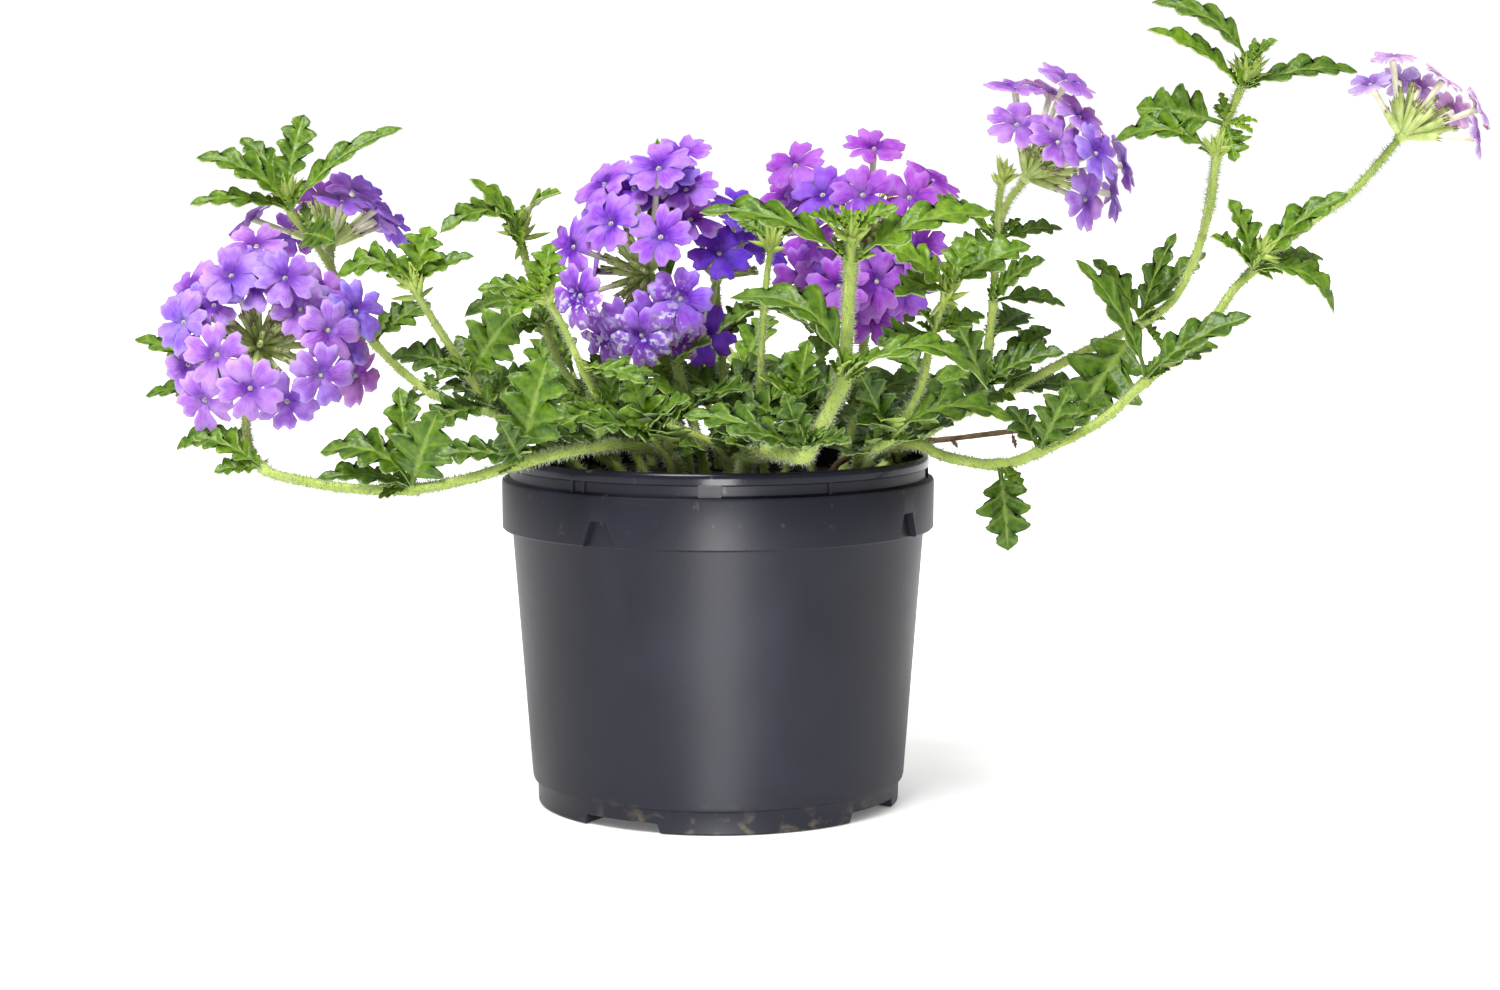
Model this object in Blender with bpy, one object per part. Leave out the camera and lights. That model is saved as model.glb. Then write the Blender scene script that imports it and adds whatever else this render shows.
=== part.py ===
"""A trailing verbena in a plain black nursery pot, with its soil, leafy stems and heads of florets.

Sizes are in metres in the model and in millimetres in the lists. Z is up, the origin is in the middle of
the pot's underside, and the plant is seen from the front by looking along +Y.

The stems, leaves and florets are laid out on a front drawing. A point of it has three numbers: across and up,
read on the plane through the pot's axis as the eye sees it, and back, how far behind that plane the point lies.
"""

import math
import random
from typing import NamedTuple

import bmesh
import bpy
from mathutils import Matrix, Vector
from mathutils.bvhtree import BVHTree

MM = 0.001
EYE = Vector((9.6, -860.0, 184.0))
EYE_DISTANCE = 860.0
GAP = 0.35

SEGMENTS = 24
POT_HEIGHT = 105.0
LIP_RADIUS = 63.5
LIP_BOTTOM = 101.5
BODY_TOP_RADIUS = 62.0
BAND_RADIUS = 62.3
COLLAR_RADIUS = 65.0
COLLAR_BOTTOM = 83.0
COLLAR_TOP = 98.0
BODY_FOOT_RADIUS = 56.0
BASE_RADIUS = 54.6
BASE_HEIGHT = 7.0
WALL = 1.2
FLOOR = 5.0
FLOOR_RADIUS = 54.2
FIRST_OPENING = -31.0
OPENING_HEIGHT = 3.0
OPENING_DEPTH = 12.0
OPENING_WIDTH = 28.0
DRAIN_SIDES = 10
DRAIN_RADIUS = 4.0
DRAIN_AT = 46.5
NOTCH_HEIGHT = 7.5
NOTCH_WIDTHS = (11.3, 5.2)
NOTCH_FLOOR = 62.6
FIRST_TAB = -1.5
TAB_WIDTH = 6.6
TAB_DEPTH = 1.6
SINK = 0.3

SOIL_LEVEL = 96.5
SOIL_EDGE = 95.0
SOIL_LUMPS = 1.3
SOIL_RINGS = (22.0, 42.0)
HOLE_DEPTH = 8.0

BLADE = 0.75
LEAF_ROOT = 0.3
LEAF_CLEARANCE = 0.4
TUBE_STEP = 17.0
THINNING = 0.34
BUD_RADIUS = 2.8
BUD_BEYOND_TIP = 1.8
FLORET_RADIUS = 9.2
NECK_RADIUS = 1.5
NECK_DEPTH = 1.6
FOOT_RADIUS = 0.5
HUB_RADIUS = 2.6
FACE_FORWARD = 0.5
SWINGS = (0, 3, -3, 6, -6, 9, -9, 12, -12, 16, -16, 20, -20, 25, -25)

# The corners of one petal, as angles in degrees and shares of the floret's radius.
PETAL = ((-36, 0.42), (-17, 1.0), (17, 1.0))

# Half widths of a leaf along its length, as shares of its length and of its half width.
BIG_LEAF = ((0.0, 0.05), (0.24, 0.11), (0.38, 0.85), (0.48, 0.52), (0.62, 1.0), (0.72, 0.5), (0.84, 0.55))
LEAF = ((0.0, 0.06), (0.26, 0.13), (0.42, 0.95), (0.54, 0.5), (0.72, 0.9))
SMALL_LEAF = ((0.0, 0.09), (0.28, 0.18), (0.48, 1.0), (0.7, 0.5))

GREEN = (0.13, 0.24, 0.045)


class Leaf(NamedTuple):
    """A leaf on a stem: the route point it grows from, where its tip is drawn, and its width."""

    at: int
    tip: tuple
    width: float
    face: str = "up"
    arch: float = 0.12


class Branch(NamedTuple):
    """A side shoot: the route point it leaves from, its own route, its radius, and what it ends in."""

    at: int
    route: list
    radius: float
    bud: bool = False
    carries: str = ""


class Stem(NamedTuple):
    """A leafy stem: its route from the soil, what grows on it, and the head that it carries."""

    name: str
    radius: float
    route: list
    leaves: list
    branches: list = []
    bud: bool = False
    carries: str = ""
    colour: tuple = GREEN


class Head(NamedTuple):
    """A head of florets: its knob, the way it faces, and where each floret's face is drawn.

    A floret is (across, up, length of its tube). A minus length is a floret behind the knob.
    """

    name: str
    hub: tuple
    axis: tuple
    florets: list
    colour: tuple


STEMS = [
    Stem("left_runner", 2.0, [
        (-12, 97, -15), (-13, 103, -20), (-24, 107, -36), (-36, 107, -49), (-47, 105, -58),
        (-59.4, 102, -64), (-76, 97, -62), (-92.4, 94, -54), (-110.4, 94.2, -46), (-125.4, 96.6, -42),
        (-136.8, 100, -34), (-142, 109, -20), (-141, 121, -8), (-139, 131, -5)],
        [Leaf(5, (-51, 134, -66), 19, "front"), Leaf(5, (-85, 104, -70), 11), Leaf(5, (-66, 115, -76), 9, "front"),
         Leaf(7, (-120, 105, -54), 15, "up", 0.3), Leaf(7, (-84, 118, -60), 15, "front"),
         Leaf(7, (-121, 97, -64), 9), Leaf(7, (-96, 125, -50), 10),
         Leaf(10, (-158, 110, -32), 10), Leaf(10, (-152, 99, -38), 9),
         Leaf(12, (-175, 139, 6), 11), Leaf(12, (-172, 122, 2), 11), Leaf(11, (-163, 106, -12), 10)],
        carries="left_round_head"),
    Stem("left_back_shoot", 1.7, [
        (-28, 97, 4), (-34, 103, 5), (-46, 111, 6), (-64, 116, 9), (-86, 123, 12), (-103, 138, 16),
        (-112, 152, 16), (-116, 161, 14), (-122, 170, 10), (-127.5, 177, 8), (-128.5, 183, 8)],
        [Leaf(9, (-155.4, 193.2, 4), 13, "up", 0.2), Leaf(9, (-157.5, 179.4, -2), 9),
         Leaf(10, (-123, 206, 12), 11, "front"), Leaf(9, (-94, 202, 12), 9), Leaf(8, (-114, 168, -6), 12, "front"),
         Leaf(10, (-142, 199, 14), 8), Leaf(5, (-86, 150, 22), 12), Leaf(5, (-120, 138, 6), 12),
         Leaf(4, (-70, 140, 16), 11), Leaf(4, (-98, 112, 22), 12)],
        branches=[Branch(7, [(-116, 164, 18)], 1.4, carries="far_left_head")], bud=True),
    Stem("left_shoot", 1.7, [
        (-40, 97, -8), (-44, 102, -10), (-52, 108, -13), (-61, 114, -17), (-69, 118.5, -20), (-74.4, 128, -22),
        (-81, 138, -24), (-88.5, 150, -26), (-91, 155, -26)],
        [Leaf(8, (-114, 158, -32), 13, "up", 0.3), Leaf(8, (-86, 173, -24), 12, "front"), Leaf(8, (-73, 164, -28), 8),
         Leaf(8, (-102, 163, -14), 10), Leaf(5, (-59.4, 149, -30), 14, "front"), Leaf(5, (-84, 131, -36), 8),
         Leaf(5, (-98, 134, -14), 14), Leaf(4, (-88, 112, -32), 13), Leaf(4, (-56, 130, -30), 12)],
        bud=True),
    Stem("tall_left_shoot", 1.6, [
        (-22, 97, 2), (-24, 103, 2), (-31, 115, 1), (-39, 121.5, 0), (-46.8, 130.5, 0), (-51.6, 142, 0),
        (-55, 154, 0), (-58, 165, 0), (-59, 171, 0)],
        [Leaf(8, (-83, 171, -20), 13, "up", 0.25), Leaf(8, (-46.8, 183, -16), 8), Leaf(7, (-74, 187, -10), 9),
         Leaf(5, (-76, 146, -22), 12, "up", 0.25), Leaf(5, (-38, 152, -28), 11), Leaf(5, (-70, 140, -6), 11),
         Leaf(3, (-60, 120, -4), 12), Leaf(3, (-32, 136, -8), 10)],
        bud=True),
    Stem("front_left_shoot", 1.6, [
        (4, 97, -26), (3, 102, -28), (-2, 108, -33), (-17, 113.5, -37), (-32.7, 118, -40), (-40, 129, -40),
        (-47.4, 145, -38), (-52, 152, -37)],
        [Leaf(7, (-72, 154, -40), 9), Leaf(7, (-50, 168, -36), 10), Leaf(7, (-62, 146, -52), 9),
         Leaf(4, (-52, 109, -54), 11), Leaf(4, (-26, 134, -46), 11), Leaf(5, (-22, 126, -54), 9)],
        bud=True),
    Stem("middle_flower_stem", 1.7, [
        (-4, 97, -12), (-4.5, 103, -13), (-8, 116, -12), (-12, 130, -4), (-15, 144, 4), (-18, 153, 4)],
        [Leaf(4, (-18, 199, 8), 8), Leaf(2, (-38, 107, -30), 14, "front"), Leaf(2, (10, 124, -34), 12),
         Leaf(3, (-2, 138, -22), 10)],
        carries="middle_head"),
    Stem("blue_flower_stem", 1.7, [
        (7, 97, 12), (5.5, 103, 13), (2, 117, 15), (1.2, 138, 18), (0, 149, 19), (-0.3, 153, 20)],
        [Leaf(2, (-14, 132, 16), 12), Leaf(2, (20, 130, 14), 11), Leaf(3, (12, 150, 20), 8)],
        carries="blue_head"),
    Stem("slim_stem", 1.4, [
        (14, 97, -10), (13.5, 103, -11), (12.3, 117, -13), (13.8, 148, -14), (15.3, 163, -14), (16.5, 168, -14)],
        [Leaf(5, (25, 173, -2), 7), Leaf(5, (6, 174, -8), 7), Leaf(3, (0, 141, -4), 11), Leaf(3, (28, 141, -2), 11)],
        bud=True),
    Stem("front_upright", 2.0, [
        (8, 97, -39), (8.5, 102, -43), (13, 105, -52), (20, 105, -60), (26, 104.5, -66), (31, 113, -66),
        (36, 122.7, -65), (37.5, 126, -65), (38.7, 141, -65), (39.6, 161, -65), (39.6, 170, -65)],
        [Leaf(9, (-5.4, 177, -64), 12, "up", 0.16), Leaf(9, (82, 176.5, -60), 14, "up", 0.16),
         Leaf(10, (27, 176, -70), 8), Leaf(10, (54, 178.5, -68), 8), Leaf(7, (3.6, 151.5, -66), 13, "up", 0.35),
         Leaf(7, (81, 124, -62), 11, "up", 0.35), Leaf(7, (52, 135, -78), 8), Leaf(4, (-10.5, 116, -62), 11),
         Leaf(4, (20, 123, -70), 9, "front"), Leaf(4, (40, 108, -80), 9), Leaf(4, (4, 111, -74), 9)],
        bud=True),
    Stem("front_right_shoot", 1.7, [
        (40, 97, -32), (42, 102, -36), (46, 106, -41), (51.6, 109, -46), (59, 120.3, -48), (62, 129.3, -49),
        (64, 140, -49), (67, 149, -49), (69, 153, -49)],
        [Leaf(3, (89, 114.5, -48), 12, "up", 0.25), Leaf(3, (42, 130, -56), 11, "front"),
         Leaf(6, (48, 137, -58), 12), Leaf(6, (80, 146, -44), 9), Leaf(8, (93.6, 167, -46), 13),
         Leaf(8, (49, 167, -52), 12), Leaf(8, (53, 152, -62), 11), Leaf(8, (76, 170, -42), 10)],
        bud=True),
    Stem("right_flower_stem", 1.7, [
        (48, 97, 8), (51, 102, 8), (62, 110, 8), (74, 119, 8), (80.1, 125, 8), (81.3, 138, 8), (82.5, 150, 8),
        (83.4, 168, 8), (86, 179, 7), (89, 184, 6)],
        [Leaf(7, (62, 182, 2), 8), Leaf(7, (68, 164, 2), 11, "front"), Leaf(7, (103, 172, 12), 8),
         Leaf(6, (98, 163, -2), 12), Leaf(6, (104, 149, 14), 8), Leaf(4, (104, 135, 0), 11), Leaf(4, (100, 142, 18), 8),
         Leaf(4, (68, 150, 2), 11, "front"), Leaf(5, (92, 147, 24), 12)],
        branches=[Branch(7, [(84, 181, 0), (85.2, 188, -2)], 1.1, True)], carries="right_head"),
    Stem("long_right_stem", 1.8, [
        (44, 97, 19), (46, 105, 20), (58, 112.5, 21), (75, 117.5, 20), (86, 122.7, 20), (102.6, 131.7, 18),
        (120.6, 140.7, 16), (126.6, 143.7, 15), (135.6, 150.3, 14), (141.6, 160.8, 12), (144.6, 169.8, 10),
        (146.4, 178.8, 10), (148.5, 192.3, 10), (151.2, 202.8, 10), (155.1, 212.7, 10), (157.8, 218.7, 10)],
        [Leaf(15, (128.7, 239, 10), 11, "up", 0.2), Leaf(14, (127.5, 231, 2), 9), Leaf(14, (190, 218.4, 12), 11),
         Leaf(12, (118, 198, 12), 14, "up", 0.25), Leaf(13, (124.5, 208, 18), 15, "front"),
         Leaf(13, (154, 192, 2), 9, "front"), Leaf(7, (137, 171, 12), 8), Leaf(7, (146, 165, 24), 8),
         Leaf(7, (105.6, 113, 8), 22, "front"), Leaf(7, (112, 163, 16), 8), Leaf(4, (98, 143, 28), 12),
         Leaf(4, (110, 124, 30), 11), Leaf(15, (166, 228, 4), 7)],
        branches=[Branch(10, [(147, 178, 3), (148, 187, 0), (148.5, 196, -2)], 1.2, True)], bud=True),
    Stem("low_right_stem", 1.8, [
        (43, 97, -18), (46, 103, -20), (54, 107.5, -24), (61, 107.5, -28), (68, 104, -31), (84.6, 101.4, -30),
        (96.6, 105.3, -27), (114.6, 114.3, -25), (128.1, 126.3, -22), (144.6, 139.8, -19), (153.6, 153, -16),
        (159.6, 159.3, -14), (169.5, 168.3, -11), (180.6, 176.7, -9), (189.6, 183.3, -8), (201, 196.7, -6)],
        [Leaf(5, (87.6, 75.3, -38), 14, "front"), Leaf(6, (106, 125, -30), 12, "front"), Leaf(6, (87, 119, -20), 9),
         Leaf(6, (116, 119, -14), 9), Leaf(8, (107, 163, -26), 9), Leaf(8, (160, 146, -28), 12),
         Leaf(8, (150, 137, -8), 8), Leaf(11, (184.5, 147, -16), 11, "up", 0.3), Leaf(11, (188.4, 182.4, -18), 11),
         Leaf(11, (152.4, 181, -16), 9), Leaf(11, (147, 170, -20), 8), Leaf(11, (181, 163, -2), 8)],
        branches=[Branch(11, [(163, 166, -17)], 1.1, True)], carries="far_right_head"),
    Stem("magenta_flower_stem", 1.7, [
        (37, 97, 14), (38, 102, 15), (41, 118, 19), (44, 140, 22), (45, 156, 20), (45, 165, 16)],
        [Leaf(2, (62, 128, 28), 12), Leaf(2, (24, 130, 30), 12), Leaf(3, (64, 148, 34), 10), Leaf(3, (32, 152, 36), 9)],
        carries="magenta_head"),
    Stem("dry_stalk", 1.0, [
        (34, 97, -8), (38, 103, -9), (56, 107.5, -12), (72, 109.5, -12), (88, 111.5, -12), (94, 112, -12)],
        [], colour=(0.13, 0.075, 0.04)),
    Stem("middle_shoot_1", 1.3, [(-8, 97, 14), (-9, 104, 14), (-12, 116, 15), (-14, 126, 16)],
        [Leaf(1, (-24, 117, 8), 13), Leaf(2, (-34, 124, 18), 12), Leaf(2, (2, 126, 22), 11), Leaf(3, (-18, 146, 14), 10)]),
    Stem("middle_shoot_2", 1.3, [(20, 97, -22), (21, 104, -23), (23, 112, -26), (24, 117, -28)],
        [Leaf(2, (2, 121, -22), 13), Leaf(2, (42, 117, -18), 13), Leaf(3, (27, 139, -24), 11), Leaf(3, (12, 128, -40), 9)]),
    Stem("middle_shoot_3", 1.3, [(28, 97, 26), (28, 104, 27), (29, 118, 29), (30, 130, 30)],
        [Leaf(1, (48, 112, 34), 13), Leaf(2, (10, 128, 38), 12), Leaf(2, (50, 130, 42), 11), Leaf(3, (36, 148, 44), 10)]),
    Stem("middle_shoot_4", 1.3, [(-30, 97, 24), (-31, 104, 25), (-38, 118, 30), (-44, 129, 34)],
        [Leaf(1, (-14, 114, 28), 13), Leaf(2, (-62, 126, 38), 13), Leaf(2, (-26, 130, 36), 11), Leaf(3, (-56, 148, 32), 11)]),
    Stem("middle_shoot_5", 1.3, [(0, 97, 36), (0, 104, 37), (-3, 120, 42), (-4, 132, 46)],
        [Leaf(1, (16, 114, 44), 13), Leaf(2, (-26, 130, 52), 12), Leaf(2, (18, 132, 54), 12), Leaf(3, (-8, 152, 50), 11)]),
    Stem("middle_shoot_6", 1.3, [(-14, 97, -36), (-15, 103, -38), (-18, 107, -42), (-20, 110, -46)],
        [Leaf(2, (-40, 114, -56), 12), Leaf(3, (-8, 120, -56), 11), Leaf(3, (-26, 128, -52), 11, "front")]),
    Stem("back_shoot_left", 1.6, [
        (-20, 97, 42), (-22, 107, 46), (-30, 116, 60), (-42, 118, 76), (-55, 119, 90), (-64, 125, 102)],
        [Leaf(2, (-66, 124, 64), 13), Leaf(2, (-26, 122, 96), 13), Leaf(3, (-84, 124, 88), 12),
         Leaf(4, (-90, 136, 104), 12), Leaf(4, (-50, 140, 120), 12)],
        bud=True),
    Stem("back_shoot_middle", 1.6, [
        (2, 97, 46), (3, 107, 51), (5, 116, 63), (6, 119, 84), (6, 124, 104), (6, 132, 118)],
        [Leaf(2, (30, 124, 92), 13), Leaf(2, (-18, 126, 84), 12), Leaf(3, (28, 132, 122), 12),
         Leaf(4, (-16, 140, 128), 12), Leaf(4, (16, 146, 140), 11)],
        bud=True),
    Stem("back_shoot_right", 1.7, [
        (26, 97, 40), (28, 107, 44), (38, 116, 60), (50, 118, 76), (64, 122, 94), (72, 131, 106)],
        [Leaf(2, (74, 122, 66), 13), Leaf(2, (34, 124, 98), 12), Leaf(3, (88, 128, 84), 12), Leaf(4, (50, 140, 116), 12)]),
]

HEADS = [
    Head("left_round_head", (-137.8, 137, -9), (-0.05, -1.0, 0.12), [
        (-146, 158.8, 27), (-129.4, 158.1, 27), (-138.1, 167.9, -31), (-158, 155.5, -28), (-161, 144.5, 27),
        (-150.8, 134.5, 28), (-140.8, 124.3, 30), (-119, 128.3, 29), (-116.5, 142, 27), (-118.4, 154.2, 25),
        (-160, 131.5, 24), (-155, 120.5, 27), (-129.4, 120, 22), (-107.7, 147.9, 32), (-108, 128.1, -33)],
        (0.36, 0.17, 0.62)),
    Head("far_left_head", (-116, 167, 24), (0.1, 0.45, 0.85), [
        (-112, 181.2, 22), (-101.5, 178.9, 20), (-98, 174.5, -24), (-139.5, 175.9, 26), (-127, 171, -26),
        (-118, 181, -30), (-108.5, 184, -28)],
        (0.2, 0.07, 0.4)),
    Head("middle_head", (-20.8, 158.5, -4), (-0.45, -0.85, 0.2), [
        (-32.5, 174.2, 28), (-17.3, 170.1, 29), (-44, 167.1, 27), (-42, 152.2, 29), (-11.3, 151.3, 27),
        (-23.3, 140, 27), (-34.5, 139.8, 24), (-13, 139.7, 21), (-34.5, 186.2, 30), (-27, 188.2, -32),
        (-17.9, 191, 34), (-9.5, 184.7, 29), (-11, 195, -38), (-8, 175.9, 21),
        (-37, 159.8, -24)],
        (0.27, 0.1, 0.53)),
    Head("blue_head", (-0.5, 157.5, 20), (0.3, -0.6, 0.7), [
        (0.6, 165.5, 25), (9.5, 170.5, -20), (6.9, 178.7, 27), (14, 168, 20), (-4, 140.5, 22), (6, 170, -30)],
        (0.06, 0.025, 0.36)),
    Head("magenta_head", (45, 170, 13), (0.05, -0.85, 0.45), [
        (31, 182.8, 28), (43.3, 182.8, 28), (57.6, 182, 27), (22.7, 191.7, 33), (19.8, 182.8, -28),
        (46.7, 196.9, 27), (64.7, 187.2, -29), (25.4, 157.8, 27), (27.3, 170.3, 22), (36, 155, 30),
        (47.6, 156.4, 26), (46.3, 145.6, 27), (60.8, 167.3, 25), (56.6, 155.1, 26)],
        (0.3, 0.07, 0.56)),
    Head("right_head", (91.9, 187.4, 6), (0.6, -0.35, 0.7), [
        (88.5, 214.6, 28), (89.2, 203.9, 27), (101.9, 198.4, 28), (99.5, 213.2, -28), (103.9, 216.7, 34),
        (108.3, 206, 29), (113.5, 195, 31), (121.5, 191.6, -31), (110.5, 181, 27), (118.1, 182.7, -28)],
        (0.33, 0.15, 0.6)),
    Head("far_right_head", (203.4, 199.4, -5), (0.55, 0.1, 0.82), [
        (200.5, 223.3, 25), (193.7, 215.7, 22), (202.4, 216.4, -26), (216, 216.9, 22), (208.5, 214.5, -27),
        (219, 207.3, -26), (226.9, 208.1, 26), (226.4, 199.4, 25)],
        (0.5, 0.33, 0.62)),
]


def place(across, up, back):
    """The point seen at this spot of the front drawing, lying this far behind the pot's axis."""
    return (EYE + (Vector((across, 0.0, up)) - EYE) * (1 + back / EYE_DISTANCE)) * MM


def material(name, colour, roughness, metallic=0.0):
    """A plain finish of one colour."""
    made = bpy.data.materials.new(name)
    made.use_nodes = True
    shader = made.node_tree.nodes["Principled BSDF"]
    shader.inputs["Base Color"].default_value = (*colour, 1.0)
    shader.inputs["Roughness"].default_value = roughness
    shader.inputs["Metallic"].default_value = metallic
    return made


def make_object(name, shape, finish=None):
    """An object from a bmesh, with its faces turned outwards."""
    bmesh.ops.recalc_face_normals(shape, faces=shape.faces)
    mesh = bpy.data.meshes.new(name)
    shape.to_mesh(mesh)
    shape.free()
    made = bpy.data.objects.new(name, mesh)
    bpy.context.scene.collection.objects.link(made)
    if finish:
        mesh.materials.append(finish)
    return made


def as_evaluated(thing):
    """The object's mesh with its modifiers or its bevel applied."""
    bpy.context.view_layer.update()
    seen = thing.evaluated_get(bpy.context.evaluated_depsgraph_get())
    return bpy.data.meshes.new_from_object(seen)


def combine(base, others, operation):
    """Joins the others to the base, or cuts them from it, and removes them."""
    group = bpy.data.collections.new("pieces")
    bpy.context.scene.collection.children.link(group)
    for other in others:
        bpy.context.scene.collection.objects.unlink(other)
        group.objects.link(other)
    boolean = base.modifiers.new("combine", "BOOLEAN")
    boolean.operation = operation
    boolean.operand_type = "COLLECTION"
    boolean.collection = group
    boolean.solver = "EXACT"
    joined = as_evaluated(base)
    base.modifiers.clear()
    old = base.data
    base.data = joined
    bpy.data.meshes.remove(old)
    for other in others:
        bpy.data.objects.remove(other)
    bpy.data.collections.remove(group)


def turned(name, profile, finish, segments=SEGMENTS):
    """A solid of revolution from a list of (radius, height), which starts and ends on the axis."""
    shape = bmesh.new()
    corners = [shape.verts.new((radius * MM, 0.0, height * MM)) for radius, height in profile]
    edges = [shape.edges.new(pair) for pair in zip(corners, corners[1:])]
    bmesh.ops.spin(
        shape, geom=corners + edges, axis=(0, 0, 1), cent=(0, 0, 0), angle=math.tau, steps=segments, use_merge=True
    )
    bmesh.ops.remove_doubles(shape, verts=shape.verts, dist=1e-6)
    return make_object(name, shape, finish)


def box(name, size, centre, turn):
    """A box of this size in millimetres, centred this far out from the axis and turned round it."""
    shape = bmesh.new()
    bmesh.ops.create_cube(shape, size=1.0)
    bmesh.ops.scale(shape, vec=Vector(size) * MM, verts=shape.verts)
    bmesh.ops.translate(shape, vec=Vector(centre) * MM, verts=shape.verts)
    bmesh.ops.rotate(shape, matrix=Matrix.Rotation(turn, 3, "Z"), verts=shape.verts)
    return make_object(name, shape)


def body_radius(height):
    """The outer radius of the tapered body at a height."""
    share = (height - BASE_HEIGHT) / (COLLAR_BOTTOM - BASE_HEIGHT)
    return BODY_FOOT_RADIUS + share * (BODY_TOP_RADIUS - BODY_FOOT_RADIUS)


def make_pot():
    """The moulded pot: base ring, tapered body, collar, recessed band and lip, with its openings cut."""
    inside_top = body_radius(COLLAR_TOP) - WALL
    profile = [
        (0, 0), (BASE_RADIUS, 0), (BASE_RADIUS, BASE_HEIGHT), (BODY_FOOT_RADIUS, BASE_HEIGHT),
        (BODY_TOP_RADIUS, COLLAR_BOTTOM), (COLLAR_RADIUS, COLLAR_BOTTOM), (COLLAR_RADIUS, COLLAR_TOP),
        (BAND_RADIUS, COLLAR_TOP), (BAND_RADIUS, LIP_BOTTOM), (LIP_RADIUS, LIP_BOTTOM),
        (LIP_RADIUS, POT_HEIGHT), (inside_top, POT_HEIGHT), (FLOOR_RADIUS, FLOOR), (0, FLOOR),
    ]
    pot = turned("pot", profile, material("pot_black", (0.035, 0.038, 0.048), 0.42))
    tabs = []
    for quarter in range(4):
        size = (TAB_WIDTH, TAB_DEPTH, LIP_BOTTOM - COLLAR_TOP + 2 * SINK)
        middle = (0, -BAND_RADIUS, (LIP_BOTTOM + COLLAR_TOP) / 2)
        tabs.append(box("tab", size, middle, math.radians(FIRST_TAB + quarter * 90)))
    combine(pot, tabs, "UNION")
    cuts = []
    for quarter in range(4):
        turn = math.radians(FIRST_OPENING + quarter * 90)
        size = (OPENING_WIDTH, OPENING_DEPTH * 2, OPENING_HEIGHT * 2)
        cuts.append(box("opening", size, (0, -BASE_RADIUS, 0), turn))
        cuts.append(make_drain(turn))
        cuts.append(make_notch(turn))
    combine(pot, cuts, "DIFFERENCE")
    return pot


def make_drain(turn):
    """The round drain hole that goes up through the floor from a base opening."""
    shape = bmesh.new()
    bmesh.ops.create_cone(
        shape, cap_ends=True, segments=DRAIN_SIDES, radius1=DRAIN_RADIUS * MM, radius2=DRAIN_RADIUS * MM,
        depth=FLOOR * 2 * MM
    )
    bmesh.ops.translate(shape, vec=Vector((0, -DRAIN_AT, FLOOR)) * MM, verts=shape.verts)
    bmesh.ops.rotate(shape, matrix=Matrix.Rotation(turn, 3, "Z"), verts=shape.verts)
    return make_object("drain", shape)


def make_notch(turn):
    """The notch in the collar's lower edge, wider below than above."""
    shape = bmesh.new()
    low, high = (width / 2 for width in NOTCH_WIDTHS)
    bottom = COLLAR_BOTTOM - SINK
    top = COLLAR_BOTTOM + NOTCH_HEIGHT
    outline = [(-low, bottom), (low, bottom), (high, top), (-high, top)]
    face = shape.faces.new([shape.verts.new((x * MM, -NOTCH_FLOOR * MM, z * MM)) for x, z in outline])
    sides = bmesh.ops.extrude_face_region(shape, geom=[face], use_keep_orig=True)
    corners = [part for part in sides["geom"] if isinstance(part, bmesh.types.BMVert)]
    bmesh.ops.translate(shape, vec=(0, (NOTCH_FLOOR - COLLAR_RADIUS) * 2 * MM, 0), verts=corners)
    bmesh.ops.rotate(shape, matrix=Matrix.Rotation(turn, 3, "Z"), verts=shape.verts)
    return make_object("notch", shape)


def make_soil():
    """The soil that fills the pot to just under its rim, with an uneven top."""
    lumps = random.Random("soil")
    clear = 2 * GAP
    top = body_radius(SOIL_LEVEL) - WALL - clear
    profile = [(0, FLOOR + GAP), (FLOOR_RADIUS - clear, FLOOR + GAP), (top, SOIL_EDGE)]
    profile += [(radius, SOIL_LEVEL) for radius in reversed(SOIL_RINGS)] + [(0, SOIL_LEVEL)]
    soil = turned("soil", profile, material("soil_brown", (0.04, 0.024, 0.015), 0.95))
    for corner in soil.data.vertices:
        if corner.co.z > SOIL_EDGE * MM + 1e-6:
            corner.co.z += lumps.uniform(-SOIL_LUMPS, SOIL_LUMPS) * MM
    return soil


def smooth_route(points):
    """Points along a smooth curve through the route's own points."""
    ends = [points[0] * 2 - points[1]] + points + [points[-1] * 2 - points[-2]]
    found = []
    for before, start, end, after in zip(ends, ends[1:], ends[2:], ends[3:]):
        parts = max(1, round((end - start).length / (TUBE_STEP * MM)))
        for part in range(parts):
            t = part / parts
            found.append(0.5 * (
                2 * start + (end - before) * t + (2 * before - 5 * start + 4 * end - after) * t * t
                + (3 * start - before - 3 * end + after) * t ** 3
            ))
    return found + [points[-1]]


def tube(name, points, radii, finish=None):
    """A round stem through these points, as a mesh with closed ends."""
    curve = bpy.data.curves.new(name, "CURVE")
    curve.dimensions = "3D"
    curve.bevel_depth = MM
    curve.bevel_resolution = 0
    curve.use_fill_caps = True
    spline = curve.splines.new("POLY")
    spline.points.add(len(points) - 1)
    for knot, point, radius in zip(spline.points, points, radii):
        knot.co = (*point, 1.0)
        knot.radius = radius
    guide = bpy.data.objects.new(name, curve)
    bpy.context.scene.collection.objects.link(guide)
    mesh = as_evaluated(guide)
    bpy.data.objects.remove(guide)
    bpy.data.curves.remove(curve)
    shape = bmesh.new()
    shape.from_mesh(mesh)
    bpy.data.meshes.remove(mesh)
    bmesh.ops.remove_doubles(shape, verts=shape.verts, dist=1e-6)
    return make_object(name, shape, finish)


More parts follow.
